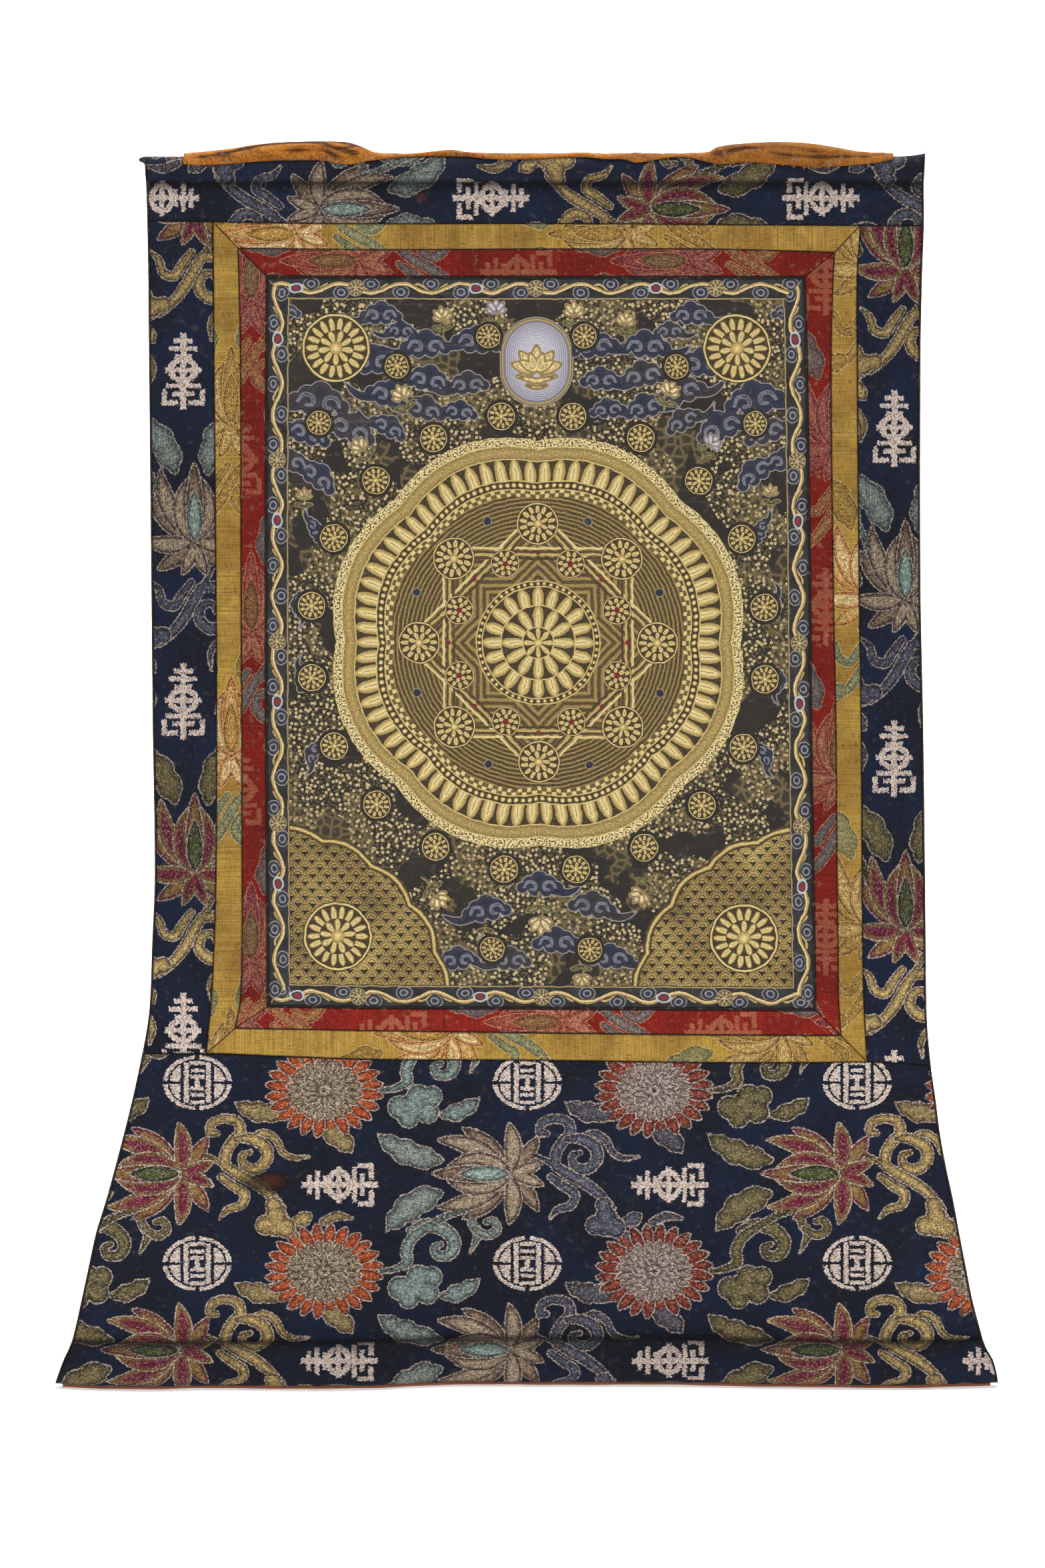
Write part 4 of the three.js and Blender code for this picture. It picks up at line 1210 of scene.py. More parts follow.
# A hand's unsteadiness: two slow noises as a small shift across and up
def wobble(vector, scale, reach):
    node = vector.tree.nodes.new("ShaderNodeTexNoise")
    plug(vector.tree, vector, node.inputs["Vector"])
    node.inputs["Scale"].default_value = scale
    node.inputs["Detail"].default_value = 1.0
    move = vector.tree.nodes.new("ShaderNodeVectorMath")
    move.operation = "MULTIPLY_ADD"
    vector.tree.links.new(node.outputs["Color"], move.inputs[0])
    move.inputs[1].default_value = [reach * 2] * 3
    move.inputs[2].default_value = [-reach] * 3
    return Signal(vector.tree, move.outputs[0])


# A petal standing on its ring: its half width is the root of one less the cube of the way out. The
# tone is dark at its outline, then gold, and light inside, with a dark middle line
def petalWork(side, share, halfPitch):
    wide = halfPitch * 0.96 * (1 - share * share * share).most(0.0).does("SQRT")
    inside = wide - side.abs()
    tone = inside.above(0.75) * 0.5 + inside.ramp(halfPitch * 0.3, halfPitch * 0.75) * 0.36
    vein = (0.55 - side.abs()).ramp(0.0, 0.35) * share.below(0.62)
    return [tone - vein * 0.45 + 0.1]


petalTone = newGroup("petalTone", {"Side": "value", "Share": "value", "HalfPitch": "value"},
                     {"Tone": "value"}, petalWork)


# A flower roundel: an outer and an inner wheel of petals, a light eye and a rim line
def roundelWork(x, y, radius, petals):
    away = hypot(x, y) / radius
    turn = calc(x.tree, "ARCTAN2", y, x) / (2 * np.pi)
    outerCell, innerCell = (turn * petals).wrap(-0.5, 0.5), (turn * petals * 0.5 + 0.25).wrap(-0.5, 0.5)
    outer = useGroup(x.tree, petalTone, outerCell * radius * 4.4 / petals, (away - 0.52) / 0.36,
                     radius * 2.2 / petals)
    inner = useGroup(x.tree, petalTone, innerCell * radius * 4.4 / petals, (away - 0.2) / 0.32,
                     radius * 2.2 / petals)
    tone = choose(away.above(0.52), choose(away.above(0.2), away.ramp(0.0, 0.2, 1.0, 0.5), inner), outer)
    rim = (away - 0.94).abs().below(0.028) * 0.75
    tone = choose(away.above(0.885), tone, rim + 0.08)
    return [tone, away.below(1.0)]


flowerRoundel = newGroup(
    "flowerRoundel", {"X": "value", "Y": "value", "Radius": "value", "Petals": "value"},
    {"Tone": "value", "Mask": "value"}, roundelWork)


# Fish-scale field: rows of overlapping arcs, every second row moved by half a scale
def scaleWork(x, y, size):
    row = (y / size * 2).does("FLOOR")
    tone = None
    for step in (0, 1, 2):
        level = row - step
        shift = level.wrap(0, 2) * 0.5
        cellX = (x / size + shift).wrap(-0.5, 0.5)
        cellY = y / size - level * 0.5
        away = hypot(cellX, cellY)
        arcs = ((away * 5).wrap(-0.5, 0.5).abs().above(0.2)) * 0.32 + 0.34
        here = away.below(0.5)
        tone = arcs * here if tone is None else choose(here, tone, arcs)
    return [tone]


scaleField = newGroup("scaleField", {"X": "value", "Y": "value", "Size": "value"}, {"Tone": "value"},
                      scaleWork)


# One ring of the medallion: its forms are set out by their distance along and across the ring
def ringTone(tree, kind, radius, turn, inner, outer, count, grain):
    share = (radius - inner) / (outer - inner)
    pitch = 2 * np.pi * (inner + outer) / 2 / max(count, 1)
    side = (turn * max(count, 1)).wrap(-0.5, 0.5) * pitch
    if kind == "petal":
        return useGroup(tree, petalTone, side, share, pitch / 2)
    if kind == "bead":
        away = hypot(side, (share - 0.5) * (outer - inner))
        return (min(pitch, outer - inner) * 0.42 - away).ramp(-0.1, 1.4, 0.08, 0.95)
    if kind == "step":
        return (side.abs().above(pitch * 0.27) * share.above(0.5)).most(
            side.abs().below(pitch * 0.2) * share.below(0.5)) * 0.58 + 0.28
    if kind == "band":
        return (share - 0.5).abs().ramp(0.5, 0.1, 0.42, 0.6) + grain * 0.4 - 0.2
    return grain.ramp(0.42, 0.54, 0.24, 1.1)


# A cloud of seven lobes with a tail and two curls, as rows of discs like the woven figures
def cloudShapes():
    lobes = [(-19, 0, 6), (-11, 5, 7.6), (-1, 9, 9), (9, 5.5, 8), (18, 0.5, 6.4), (-6, -2, 7), (6, -2.5, 7)]
    shapes = [(0, np.array([[x, y]], float), np.array([wide]), "cloud") for x, y, wide in lobes]
    shapes.append((0, *brush([(16, -3), (27, -5), (36, -2), (43, 3)], [5, 4.2, 3, 1.2], 12), "cloud"))
    for s, x in ((1, -9), (-1, 8)):
        curl = [(x - 8 * s, 0), (x - 4 * s, 6), (x + 3 * s, 5), (x + 4 * s, -1), (x - 1 * s, -2)]
        shapes.append((1, *brush(curl, [1.2, 1.5, 1.5, 1.4, 1.2], 16), "curl"))
    return shapes


# A spray: five petals on a stem with two leaves
def sprayShapes():
    shapes = []
    for turn, long in ((90, 17), (52, 16), (128, 16), (16, 13), (164, 13)):
        ray = np.array([np.cos(np.radians(turn)), np.sin(np.radians(turn))])
        shapes.append((2 + (turn in (52, 128)), *petal((0, 0), ray * long, 0, 3.6, 0.9, count=12), "flower"))
    stem = [(0, 0), (-2, -9), (3, -18), (1, -27)]
    shapes.append((2, *brush(stem, [1.2, 1.2, 1.2, 1.0], 12), "stem"))
    for s in (1, -1):
        shapes.append((3, *petal((1, -14), (1 + 15 * s, -9), 2 * s, 3.2, 0.9, count=12), "stem"))
    return shapes


canvasPaints = {
    "cloud": ((56, 60, 84), (40, 44, 64)), "curl": ((136, 132, 138), (136, 132, 138)),
    "cloudWarm": ((70, 66, 70), (50, 48, 54)), "flower": ((206, 178, 120), (244, 224, 172)),
    "stem": ((118, 112, 72), (140, 132, 88)), "lilac": ((188, 180, 190), (212, 206, 214)),
    "rim": ((196, 168, 108), (206, 178, 118)), "disc": ((176, 172, 186), (212, 209, 218)),
    "gold": ((204, 172, 108), (240, 214, 150)),
}
# Where clouds and flowers stand, from the painting's middle: across, up, size, and turn in degrees
# Where clouds and sprays stand, from the painting's middle: across, up, size, and turn in degrees
clouds = [
    (52, 262, 0.95, 8), (-54, 266, 0.95, -6), (96, 236, 0.9, 10), (-98, 232, 0.9, -12),
    (58, 232, 0.8, 0), (-62, 228, 0.8, 4), (64, 206, 0.7, 6), (-70, 204, 0.7, -8), (132, 196, 0.75, 30),
    (-134, 190, 0.75, -30), (212, 33, 0.5, 90), (-212, 33, 0.5, 90), (212, -33, 0.5, -90),
    (-212, -33, 0.5, -90), (200, 100, 0.5, 70), (-200, 100, 0.5, -70), (200, -100, 0.5, -70),
    (-200, -100, 0.5, 70), (0, -218, 0.85, 0),
    (196, 214, 1.15, 10), (-196, 212, 1.15, -8), (150, 246, 1.0, 0), (-148, 248, 1.0, 0),
    (206, 186, 0.9, 20), (-206, 184, 0.9, -20), (166, 190, 1.0, 24), (-168, 188, 1.0, -24),
    (98, 262, 0.95, 0), (-100, 262, 0.95, 0), (130, 222, 0.95, 14), (-132, 218, 0.95, -14),
    (98, 208, 0.85, 16), (-102, 206, 0.85, -16), (140, 290, 0.8, 0), (-140, 290, 0.8, 0),
    (226, 292, 0.6, 0), (-226, 292, 0.6, 0), (222, 160, 0.8, 0), (-222, 158, 0.8, 0),
    (196, 150, 0.85, 40), (-198, 146, 0.85, -40), (46, -236, 0.9, -8), (-48, -240, 0.9, 8),
    (14, -268, 0.9, 0), (-28, -284, 0.8, 0), (62, -282, 0.85, 0), (-74, -284, 0.8, 4),
    (120, 276, 0.6, 0), (-122, 276, 0.6, 0),
]
sprays = [
    (34, 292, 0.8, 0), (-36, 294, 0.8, 0), (80, 284, 0.75, -10), (-84, 288, 0.75, 10),
    (118, 222, 0.8, -25), (-120, 218, 0.8, 25), (155, 176, 0.75, -40), (-157, 172, 0.75, 40),
    (208, 132, 0.62, 0), (-208, 128, 0.62, 0), (0, -246, 0.9, 180), (30, -206, 0.7, 160),
    (-32, -208, 0.7, 200), (90, -222, 0.8, 140), (-92, -226, 0.8, 220), (36, -296, 0.7, 180),
    (-50, -262, 0.6, 180),
]


# A pale oval disc with a gold rim, and a lotus of rising petals on it
def moonShapes():
    stem = [(0, -painted["moonTall"]), (0, painted["moonTall"])]
    shapes = [(0, *brush(stem, [painted["moonWide"] + painted["moonRim"]] * 2, 8), "rim"),
              (1, *brush(stem, [painted["moonWide"]] * 2, 8), "disc")]
    for layer, turns, long, wide in ((2, (18, 162, 50, 130, 90), 25, 5.2), (3, (34, 146, 70, 110), 19, 4.0)):
        for turn in turns:
            tip = np.array([np.cos(np.radians(turn)), np.sin(np.radians(turn))]) * long
            shapes.append((layer, *petal((0, -9), tip + (0, -9), 0, wide, 0.9, count=12), "gold"))
    shapes.append((2, *brush([(-17, -13), (0, -17), (17, -13)], [2.0, 3.2, 2.0], 14), "gold"))
    shapes.append((3, *brush([(-9, -21), (0, -23), (9, -21)], [1.6, 2.4, 1.6], 12), "gold"))
    return shapes


def paintedField(p, q):
    field = newField(p, q)
    for layer, path, halves, paint in moonShapes():
        stamp(field, layer, path + (0.0, painted["moonUp"]), halves, canvasPaints[paint])
    for shapes, places in ((cloudShapes(), clouds), (sprayShapes(), sprays)):
        for k, (x, y, size, turn) in enumerate(places):
            c, s = np.cos(np.radians(turn)) * size, np.sin(np.radians(turn)) * size
            flip = -1 if x < 0 else 1
            for layer, path, halves, paint in shapes:
                across, up = path[:, 0] * flip, path[:, 1]
                placed = np.stack([x + across * c - up * s, y + across * s + up * c], -1)
                key = "lilac" if paint == "flower" and k % 5 == 1 else paint
                key = "cloudWarm" if key == "cloud" and k % 3 == 2 else key
                stamp(field, layer, placed, halves * size, canvasPaints[key])
    return field


# A point seen from a centre that lies out along the middle of its own sector
def fromCentre(plain, sector, out):
    return plain * sector.does("COSINE") - out, plain * sector.does("SINE")


# The bare ground, with sprays of tiny blossoms and leaves, and veined rocks
def canvasGround(cloth):
    patch = noise(cloth, 0.03, 3.0)
    colour = blend(patch.ramp(0.35, 0.65), (33, 28, 23), (46, 40, 32))
    away, tone = cells(cloth, 0.21)
    chance = noise(cloth, 0.018, 1.0)
    blossoms = chance.above(0.46) * split(tone)[0].above(0.2)
    leaf, _ = cells(cloth, 0.34)
    colour = blend((leaf.ramp(0.34, 0.22) * chance.above(0.47)) * 0.8, colour, (128, 112, 68))
    colour = blend(away.below(0.36) * blossoms, colour, (38, 32, 24))
    colour = blend(away.ramp(0.33, 0.2) * blossoms, colour, (236, 212, 158))
    colour = blend(away.below(0.09) * blossoms, colour, (96, 66, 34))
    [vein] = cells(cloth, 0.115, "DISTANCE_TO_EDGE", ["Distance"])
    rocks = noise(cloth, 0.021, 2.0).below(0.46)
    colour = blend(vein.ramp(0.22, 0.03) * rocks * 0.55, colour, (146, 124, 78))
    return blend((vein * 6.0).wrap(-0.5, 0.5).abs().below(0.13) * rocks * 0.4, colour, (120, 108, 72))


# Clouds, curls and sprays: four layers laid over the ground, each with its outline
def canvasFigures(colour, grain):
    raised = grain * 0.0
    for layer, line in enumerate([(150, 142, 140), (120, 122, 136), (150, 130, 86), (150, 130, 86)]):
        found = attribute(colour.tree, f"layer{layer}")
        fill = blend(1.0, found["Color"], grey(grain.ramp(0.2, 0.8, 0.75, 1.2)), "MULTIPLY")
        calm = grain * 0.35 + 0.32
        colour, raised = useGroup(colour.tree, wovenLayer, colour, raised, fill, found["Alpha"], calm, line,
                                  0.32 if layer else 0.5)
    return colour, raised


# Two wreaths of flower roundels round the medallion, the outer one seen above and below only
def canvasWreaths(colour, grain, plain, turn):
    total, mask = grain * 0.0, grain * 0.0
    for out, count, size, shift in wreaths:
        sector = (turn * count + shift).wrap(-0.5, 0.5) * (2 * np.pi / count)
        x, y = fromCentre(plain, sector, out)
        tone, here = useGroup(colour.tree, flowerRoundel, x, y, size, 12.0)
        colour = blend(hypot(x, y).below(size + 2.6), colour, (36, 30, 24))
        total, mask = choose(here, total, tone), mask.most(here)
    return colour, total, mask


# Fans of fish scales in the two lower corners, edged with a scalloped arc, and a roundel in all four
def canvasCorners(cloth, p, q, cornerX, cornerY, total, mask):
    tree = cloth.tree
    sweep = calc(tree, "ARCTAN2", cornerY, cornerX)
    scallop = (sweep * 10.0).does("SINE").abs() * 5.0
    fan = q.below(0.0) * painted["fan"] + scallop - hypot(cornerX, cornerY)
    scales = useGroup(tree, scaleField, cornerX, cornerY, painted["fanScale"])
    bright = noise(cloth, 0.02, 2.0).ramp(0.3, 0.7, -0.2, 0.06)
    fanTone = choose(fan.above(7.0), (fan - 3.6).abs().ramp(2.2, 0.6, 0.12, 0.8), scales + bright)
    inFan = fan.above(0.0)
    x, y = p.abs() - painted["roundelX"], q.abs() - painted["roundelZ"]
    tone, here = useGroup(tree, flowerRoundel, x, y, painted["roundel"], 18.0)
    total = choose(inFan.most(here), total, choose(here, fanTone, tone))
    return total, mask.most(inFan).most(here)


# The medallion: fine rings, a star of two squares with its outlines, buds and gems in eight sectors,
# then its rings from the rim inwards. Dots stand in the gems' sectors
def medallionTone(tree, grain, p, q, plain, turn, radius):
    fine = (plain.wrap(-1.9, 1.9).abs().below(0.75)) * 0.34 + 0.16
    squareA, squareB = p.abs().most(q.abs()), (p + q).abs().most((p - q).abs()) * 0.7071
    starA, starB = squareA - painted["star"], squareB - painted["star"]
    inStar = starA.least(starB).below(0.0)
    lanes = squareA.least(squareB).wrap(-3.0, 3.0).abs().ramp(1.2, 2.0, 0.2, 0.52)
    tone = choose(inStar, fine, lanes)
    for rim, level in ((0.0, 0.86), (3.4, 0.16), (5.6, 0.7), (9.0, 0.14)):
        edge = (starA + rim).abs().least((starB + rim).abs()).below(1.1)
        tone = choose(edge * plain.below(127.0), tone, level)
    sector = (turn * 8.0).wrap(-0.5, 0.5) * (2 * np.pi / 8)
    budX, budY = fromCentre(plain, sector, painted["budOut"])
    budTone, inBud = useGroup(tree, flowerRoundel, budX, budY, painted["bud"], 14.0)
    tone = choose(inBud, tone, budTone)
    halfSector = (turn * 8.0 + 0.5).wrap(-0.5, 0.5) * (2 * np.pi / 8)
    gemX, gemY = fromCentre(plain, halfSector, painted["gemOut"])
    gemTone, inGem = useGroup(tree, flowerRoundel, gemX, gemY, painted["gem"], 10.0)
    tone = choose(inGem, tone, gemTone)
    for start, end, count, kind in rings:
        outwards = radius if start > 120 else plain
        here = outwards.above(start) * outwards.below(end)
        ring = ringTone(tree, kind, outwards, turn, start, end, count, grain)
        line = (outwards - end).abs().below(0.55)
        tone = choose(line, choose(here, tone, ring), 0.78)
    tone = choose(plain.below(4.0), tone, plain.ramp(0.0, 4.0, 1.0, 0.6))
    return tone, (gemX, gemY), (budX, budY), halfSector


def goldColour(tree, total):
    node = tree.nodes.new("ShaderNodeValToRGB")
    plug(tree, total, node.inputs[0])
    steps = node.color_ramp.elements
    while len(steps) < len(goldTones):
        steps.new(0.5)
    for step, (at, value) in zip(steps, goldTones):
        step.position = at
        step.color = rgba(value)
    return Signal(tree, node.outputs[0])


# The border: a running vine, which is a sine, with leaves, rosettes, cloud discs and small flowers
def canvasBorder(cloth, p, q, grain, cornerX, cornerY, colour):
    pitch, wide = painted["vine"], painted["border"]
    upright = cornerX.below(cornerY)
    fromEdge = cornerX.least(cornerY)
    run = choose(upright, p, q)
    across = fromEdge - wide / 2
    vine = across - (run * (2 * np.pi / pitch)).does("SINE") * 4.2
    band = blend(noise(cloth, 0.06, 2.0).ramp(0.35, 0.65), (30, 27, 24), (54, 53, 57))
    bulbX = (run + pitch / 4).wrap(-pitch / 4, pitch / 4)
    bulbSide = (run + pitch / 2).wrap(0, pitch).above(pitch / 2) * 2.0 - 1.0
    bulb = hypot(bulbX * 0.8, across + bulbSide * 3.6)
    leafLine = across + (run * (4 * np.pi / pitch) + 1.2).does("SINE") * 3.4
    leafOn = (run * (2 * np.pi / pitch)).does("SINE").above(-0.2)
    band = blend(bulb.below(6.0), band, (154, 150, 150))
    band = blend(bulb.below(5.2), band, (46, 49, 60))
    band = blend((bulb - 2.6).abs().below(0.6), band, (150, 150, 158))
    band = blend(leafLine.abs().below(1.0) * leafOn, band, (206, 176, 114))
    band = blend(vine.abs().below(2.5), band, (34, 28, 20))
    band = blend(vine.abs().below(1.7), band, (190, 160, 100))
    band = blend((vine - 0.5).abs().below(0.55), band, (248, 224, 168))
    rosetteX = run.wrap(-1.5 * pitch, 1.5 * pitch)
    wheel, inWheel = useGroup(cloth.tree, flowerRoundel, rosetteX, across, 7.6, 10.0)
    band = blend(inWheel, band, blend(wheel, (70, 54, 32), (236, 212, 156)))
    flower = hypot((run + pitch).wrap(-1.5 * pitch, 1.5 * pitch) * 0.7, across)
    band = blend(flower.below(4.8), band, (206, 200, 198))
    band = blend(flower.below(3.4), band, (60, 62, 80))
    band = blend(flower.below(2.2), band, (150, 44, 44))
    band = blend((grain - 0.5).above(0.1) * 0.45, band, (34, 29, 25))
    colour = blend(fromEdge.below(wide + 1.6), colour, (40, 34, 26))
    colour = blend((fromEdge - wide - 0.4).abs().below(0.7), colour, (176, 152, 102))
    return blend(fromEdge.below(wide), colour, band)


def canvasMaterial():
    material, tree, shader = newMaterial("paintedCanvas", 0.6, 0.4)
    cloth = attribute(tree, "cloth")["Vector"]
    place = objectPlace(tree)
    flatP, flatQ, _ = split(cloth)
    handX, handY, _ = split(wobble(cloth, 0.11, 1.1))
    p, q = flatP + handX, flatQ + handY
    cell, height, _ = useGroup(tree, threads, cloth, 0.62, 0.62)
    grain = noise(cloth, 0.62, 2.0)
    colour, raised = canvasFigures(canvasGround(cloth), grain)
    plain = hypot(p, q)
    turn = calc(tree, "ARCTAN2", q, p) / (2 * np.pi)
    colour, total, mask = canvasWreaths(colour, grain, plain, turn)
    cornerX, cornerY = painted["acrossHalf"] - p.abs(), painted["downHalf"] - q.abs()
    total, mask = canvasCorners(cloth, p, q, cornerX, cornerY, total, mask)
    lobe = (turn * painted["lobes"] * np.pi).does("SINE").abs()
    radius = plain / (lobe * painted["lobeDeep"] + 1.0)
    medallion = radius.below(painted["medallion"])
    tone, gem, bud, halfSector = medallionTone(tree, grain, p, q, plain, turn, radius)
    total, mask = choose(medallion, total, tone), mask.most(medallion)

    # brush grain in the gold, then red and navy touches on it
    total = total + (grain - 0.5) * 0.42 + (cell - 0.5) * 0.14
    colour = blend(mask, colour, goldColour(tree, total))
    accents = (hypot(*gem).below(2.6)).most(hypot(bud[0] + 26.0, bud[1]).below(2.2)) * medallion
    colour = blend(accents, colour, (128, 34, 40))
    dots = hypot(*fromCentre(plain, halfSector, painted["dotOut"]))
    colour = blend(dots.below(4.2) * medallion, colour, (150, 132, 92))
    colour = blend(dots.below(3.2) * medallion, colour, (34, 40, 66))
    colour = canvasBorder(cloth, p, q, grain, cornerX, cornerY, colour)

    # age: the weave shows faintly, and paint is rubbed along the old rolling lines
    colour = blend(height.ramp(0.4, 1.0, 0.16, 0.0), colour, (30, 26, 20))
    rolled = noise(join(p * 0.004, q * 0.16, 0.0), 1.0, 2.0).ramp(0.62, 0.8)
    colour = blend(rolled * cell * 0.35, colour, (150, 132, 100))
    colour = useGroup(tree, ageing, colour, place, 0.25)
    plug(tree, (mask * total.ramp(0.45, 0.9)) * 0.35, shader.inputs["Metallic"])
    plug(tree, (mask * total).ramp(0.3, 1.0, 0.68, 0.46), shader.inputs["Roughness"])
    dress(tree, shader, colour, height * 0.3 + (mask * total) * 0.5 + raised * 0.3, 0.5, 0.0002)
    return material


# Painting: flat cloth between its pipings, with slight puckers at its edges and waves from rolling
def makePainting():
    tall, wide = lengths["paintTall"], lengths["paintWide"]
    rows, columns = spaced(tall, panelPitch(1.86), 6), spaced(wide, panelPitch(1.86), 6)
    edge = half + pipe
    middleZ = mix(lines["paintTop"](0.0) - half - pipe, lines["paintFoot"](0.0) + half + pipe, rows)
    left, right = lines["paintL"](middleZ) + edge, lines["paintR"](middleZ) - edge
    x = mix(left[:, None], right[:, None], columns[None, :])
    z = mix(lines["paintTop"](x) - half - pipe, lines["paintFoot"](x) + half + pipe, rows[:, None])
    p = mix(-painted["acrossHalf"], painted["acrossHalf"], columns)[None, :] * np.ones_like(x)
    q = mix(painted["downHalf"], -painted["downHalf"], rows)[:, None] * np.ones_like(x)
    field = paintedField(p, q)
    fromSide = np.minimum(columns, 1 - columns)[None, :] * wide * np.ones_like(x)
    fromEnd = np.minimum(rows, 1 - rows)[:, None] * tall * np.ones_like(x)
    relief = puckers(fromSide, z, 0.15, 17.0, 12.0) + puckers(fromEnd, x, 0.15, 19.0, 12.0)
    relief = relief + 0.14 * np.sin(z / 11.0 + 0.6 * np.sin(x / 90)) * smoothstep(0, 60, fromEnd)
    piece = clothSheet("painting_canvas", x, z, make["canvasThick"], np.minimum(fromSide, fromEnd), relief,
                       [canvasMaterial(), canvasBack], fieldAttributes(field, x.shape, p, q))
    return settle(piece, "painting")


makePainting()
print("painting ready")


def rounded(values, power):
    return np.sign(values) * np.abs(values) ** power


# Piping: a bead of rounded square section along each side, a little thinner at every stitch
def makePiping():
    ring = np.linspace(0, 2 * np.pi, 10, endpoint=False)
    square, deep = rounded(np.cos(ring), 0.7), rounded(np.sin(ring), 0.7) * make["pipingThick"] / 2
    for side, (outer, inner) in sideRuns(frames["paint"], frames["piped"]).items():
        ax, az = outer(np.array([0.0, 1.0]))
        long = float(np.hypot(ax[1] - ax[0], az[1] - az[0]))
        u = np.linspace(0, 1, int(long / (1.1)))
        o, i = np.stack(outer(u), -1), np.stack(inner(u), -1)
        middle, out = (o + i) / 2, (i - o) / 2
        waist = 1 - 0.12 * np.cos(np.pi * u * long / 2.6) ** 8
        depth = clothDepth(middle[:, 0], middle[:, 1]) - creaseHeight(middle[:, 0], middle[:, 1])
        xz = middle[:, None, :] + out[:, None, :] * square[None, :, None]
        y = depth[:, None] + deep * waist[:, None]
        piece = ringMesh(f"piping_{side}_bead", np.stack([xz[..., 0], y, xz[..., 1]], -1), [pipingCloth])
        settle(piece, f"piping_{side}")


# Bindings: an overcast edge. Each section is a flattened round; threads cross it aslant, so it swells
# and shrinks with a wave along the edge, shifted a little from front to back
def makeBinding(side, line, outwards):
    tall, footTall, pitch = make["topHemTall"], make["footHemTall"], 2.3
    rowsTop = -np.linspace(0, tall, 28)
    z = np.concatenate([rowsTop[:-1], np.arange(-tall, make["creaseZ"], -0.62)])
    crease = float(creaseLine(line(make["footZ"])))
    rowsFoot = crease - footTall * (1 - np.cos(np.pi * np.linspace(0, 1, 46))) / 2
    z = np.concatenate([z[z > crease], rowsFoot])
    topTurn = np.arccos(np.clip(1 - 2 * (z + tall) / tall, -1, 1)) / np.pi
    footTurn = np.arccos(np.clip(1 - 2 * (crease - z) / footTall, -1, 1)) / np.pi
    deep = np.where(z > -tall, hemHalf(topTurn, make["topHemDeep"]), make["brocadeThick"] / 2)
    footDeep = np.maximum(hemHalf(footTurn, make["footHemDeep"]), 1.0 - 0.4 * footTurn)
    deep = np.where(z < crease, footDeep, deep) + make["bindingProud"]
    place = z + lines["top"](line(z)) * np.clip(z / tall + 1, 0, 1)
    horn = np.exp(-((place + make["hornBelow"]) / make["hornSpread"]) ** 2) * make["hornOut"]
    outer = line(place) + outwards * horn * (outwards < 0)
    inner = line(place) - outwards * make["bindingWide"]
    ring = np.linspace(0, 2 * np.pi, 12, endpoint=False)
    wave = 0.16 * np.sin(2 * np.pi * z[:, None] / pitch + 1.2 * np.sin(ring) + 0.4 * np.sin(z[:, None] / 19))
    square, thick = rounded(np.cos(ring), 0.6), rounded(np.sin(ring), 0.6)
    swell = 1 + wave * (square * outwards > 0)
    x = ((outer + inner) / 2)[:, None] + (np.abs(outer - inner) / 2)[:, None] * square * swell
    y = clothDepth(outer, place)[:, None] + deep[:, None] * thick * (1 + wave * 0.5)
    sections = np.stack([x, y, np.repeat(place[:, None], len(ring), 1)], -1)
    settle(ringMesh(f"binding_{side}_edge", sections, [bindingThread]), f"binding_{side}")


# Foot lining: a narrow folded edge of oval section whose lower line wanders
def makeLining():
    left = float(lines["edgeL"](make["footZ"])) + bound + make["liningInset"]
    right = float(lines["edgeR"](make["footZ"])) - bound - make["liningInset"]
    x = np.linspace(left, right, 640)
    ring = np.linspace(0, 2 * np.pi, 10, endpoint=False)
    wander = 0.5 * np.sin(x / 23) + 0.35 * np.sin(x / 7.7 + 1)
    tall = (make["liningTall"] / 2 - 0.1 + 0.25 * wander)[:, None]
    thick = (make["liningThick"] / 2 * (1 + 0.15 * np.sin(x / 5)))[:, None]
    z = (footAt(x) + make["liningTall"] / 2 + 0.1)[:, None] + tall * np.cos(ring)
    y = clothDepth(x, footAt(x))[:, None] + thick * np.sin(ring)
    sections = np.stack([np.repeat(x[:, None], len(ring), 1), y, z], -1)
    settle(ringMesh("foot_lining_fold", sections, [liningCloth]), "foot_lining")


# Loose threads: each starts in the binding and follows a parabola through its middle point to its end
looseThreads = {
    "wide": 0.5,
    "runs": [((-339.5, -572), (-346, -566), (-350, -573)), ((-340.5, -578), (-345, -577), (-347, -583)),
             ((345.5, -550), (352, -545), (355, -553)), ((346, -558), (350, -560), (351, -567)),
             ((-349, -2), (-357, 0), (-360, -6)), ((-349, -4), (-355, -7), (-356, -12)),
             ((346, 0), (351, 5), (353, 0)), ((346, -2), (350, 2), (348, 7))],
}


def makeLooseThreads():
    t = np.linspace(0, 1, 14)[:, None]
    ring = np.linspace(0, 2 * np.pi, 6, endpoint=False)
    for number, points in enumerate(looseThreads["runs"], 1):
        start, middle, end = (np.array(point, float) for point in points)
        path = start * (1 - t) * (1 - 2 * t) + middle * 4 * t * (1 - t) + end * t * (2 * t - 1)
        away = np.gradient(path, axis=0)
        side = np.stack([-away[:, 1], away[:, 0]], -1) / np.hypot(away[:, 0], away[:, 1])[:, None]
        thick = looseThreads["wide"] / 2 * (1 - 0.4 * t)
        xz = path[:, None, :] + side[:, None, :] * (thick * np.cos(ring))[..., None]
        y = clothDepth(path[:, 0], path[:, 1])[:, None] + thick * np.sin(ring) - 1.5 * np.sin(np.pi * t)
        sections = np.stack([xz[..., 0], y, xz[..., 1]], -1)
        thread = ringMesh(f"loose_thread_{number}", sections, [bindingThread])
        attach(thread, "root")


makePiping()
makeLooseThreads()
makeBinding("left", lines["edgeL"], -1)
makeBinding("right", lines["edgeR"], 1)
makeLining()
print("edges ready")


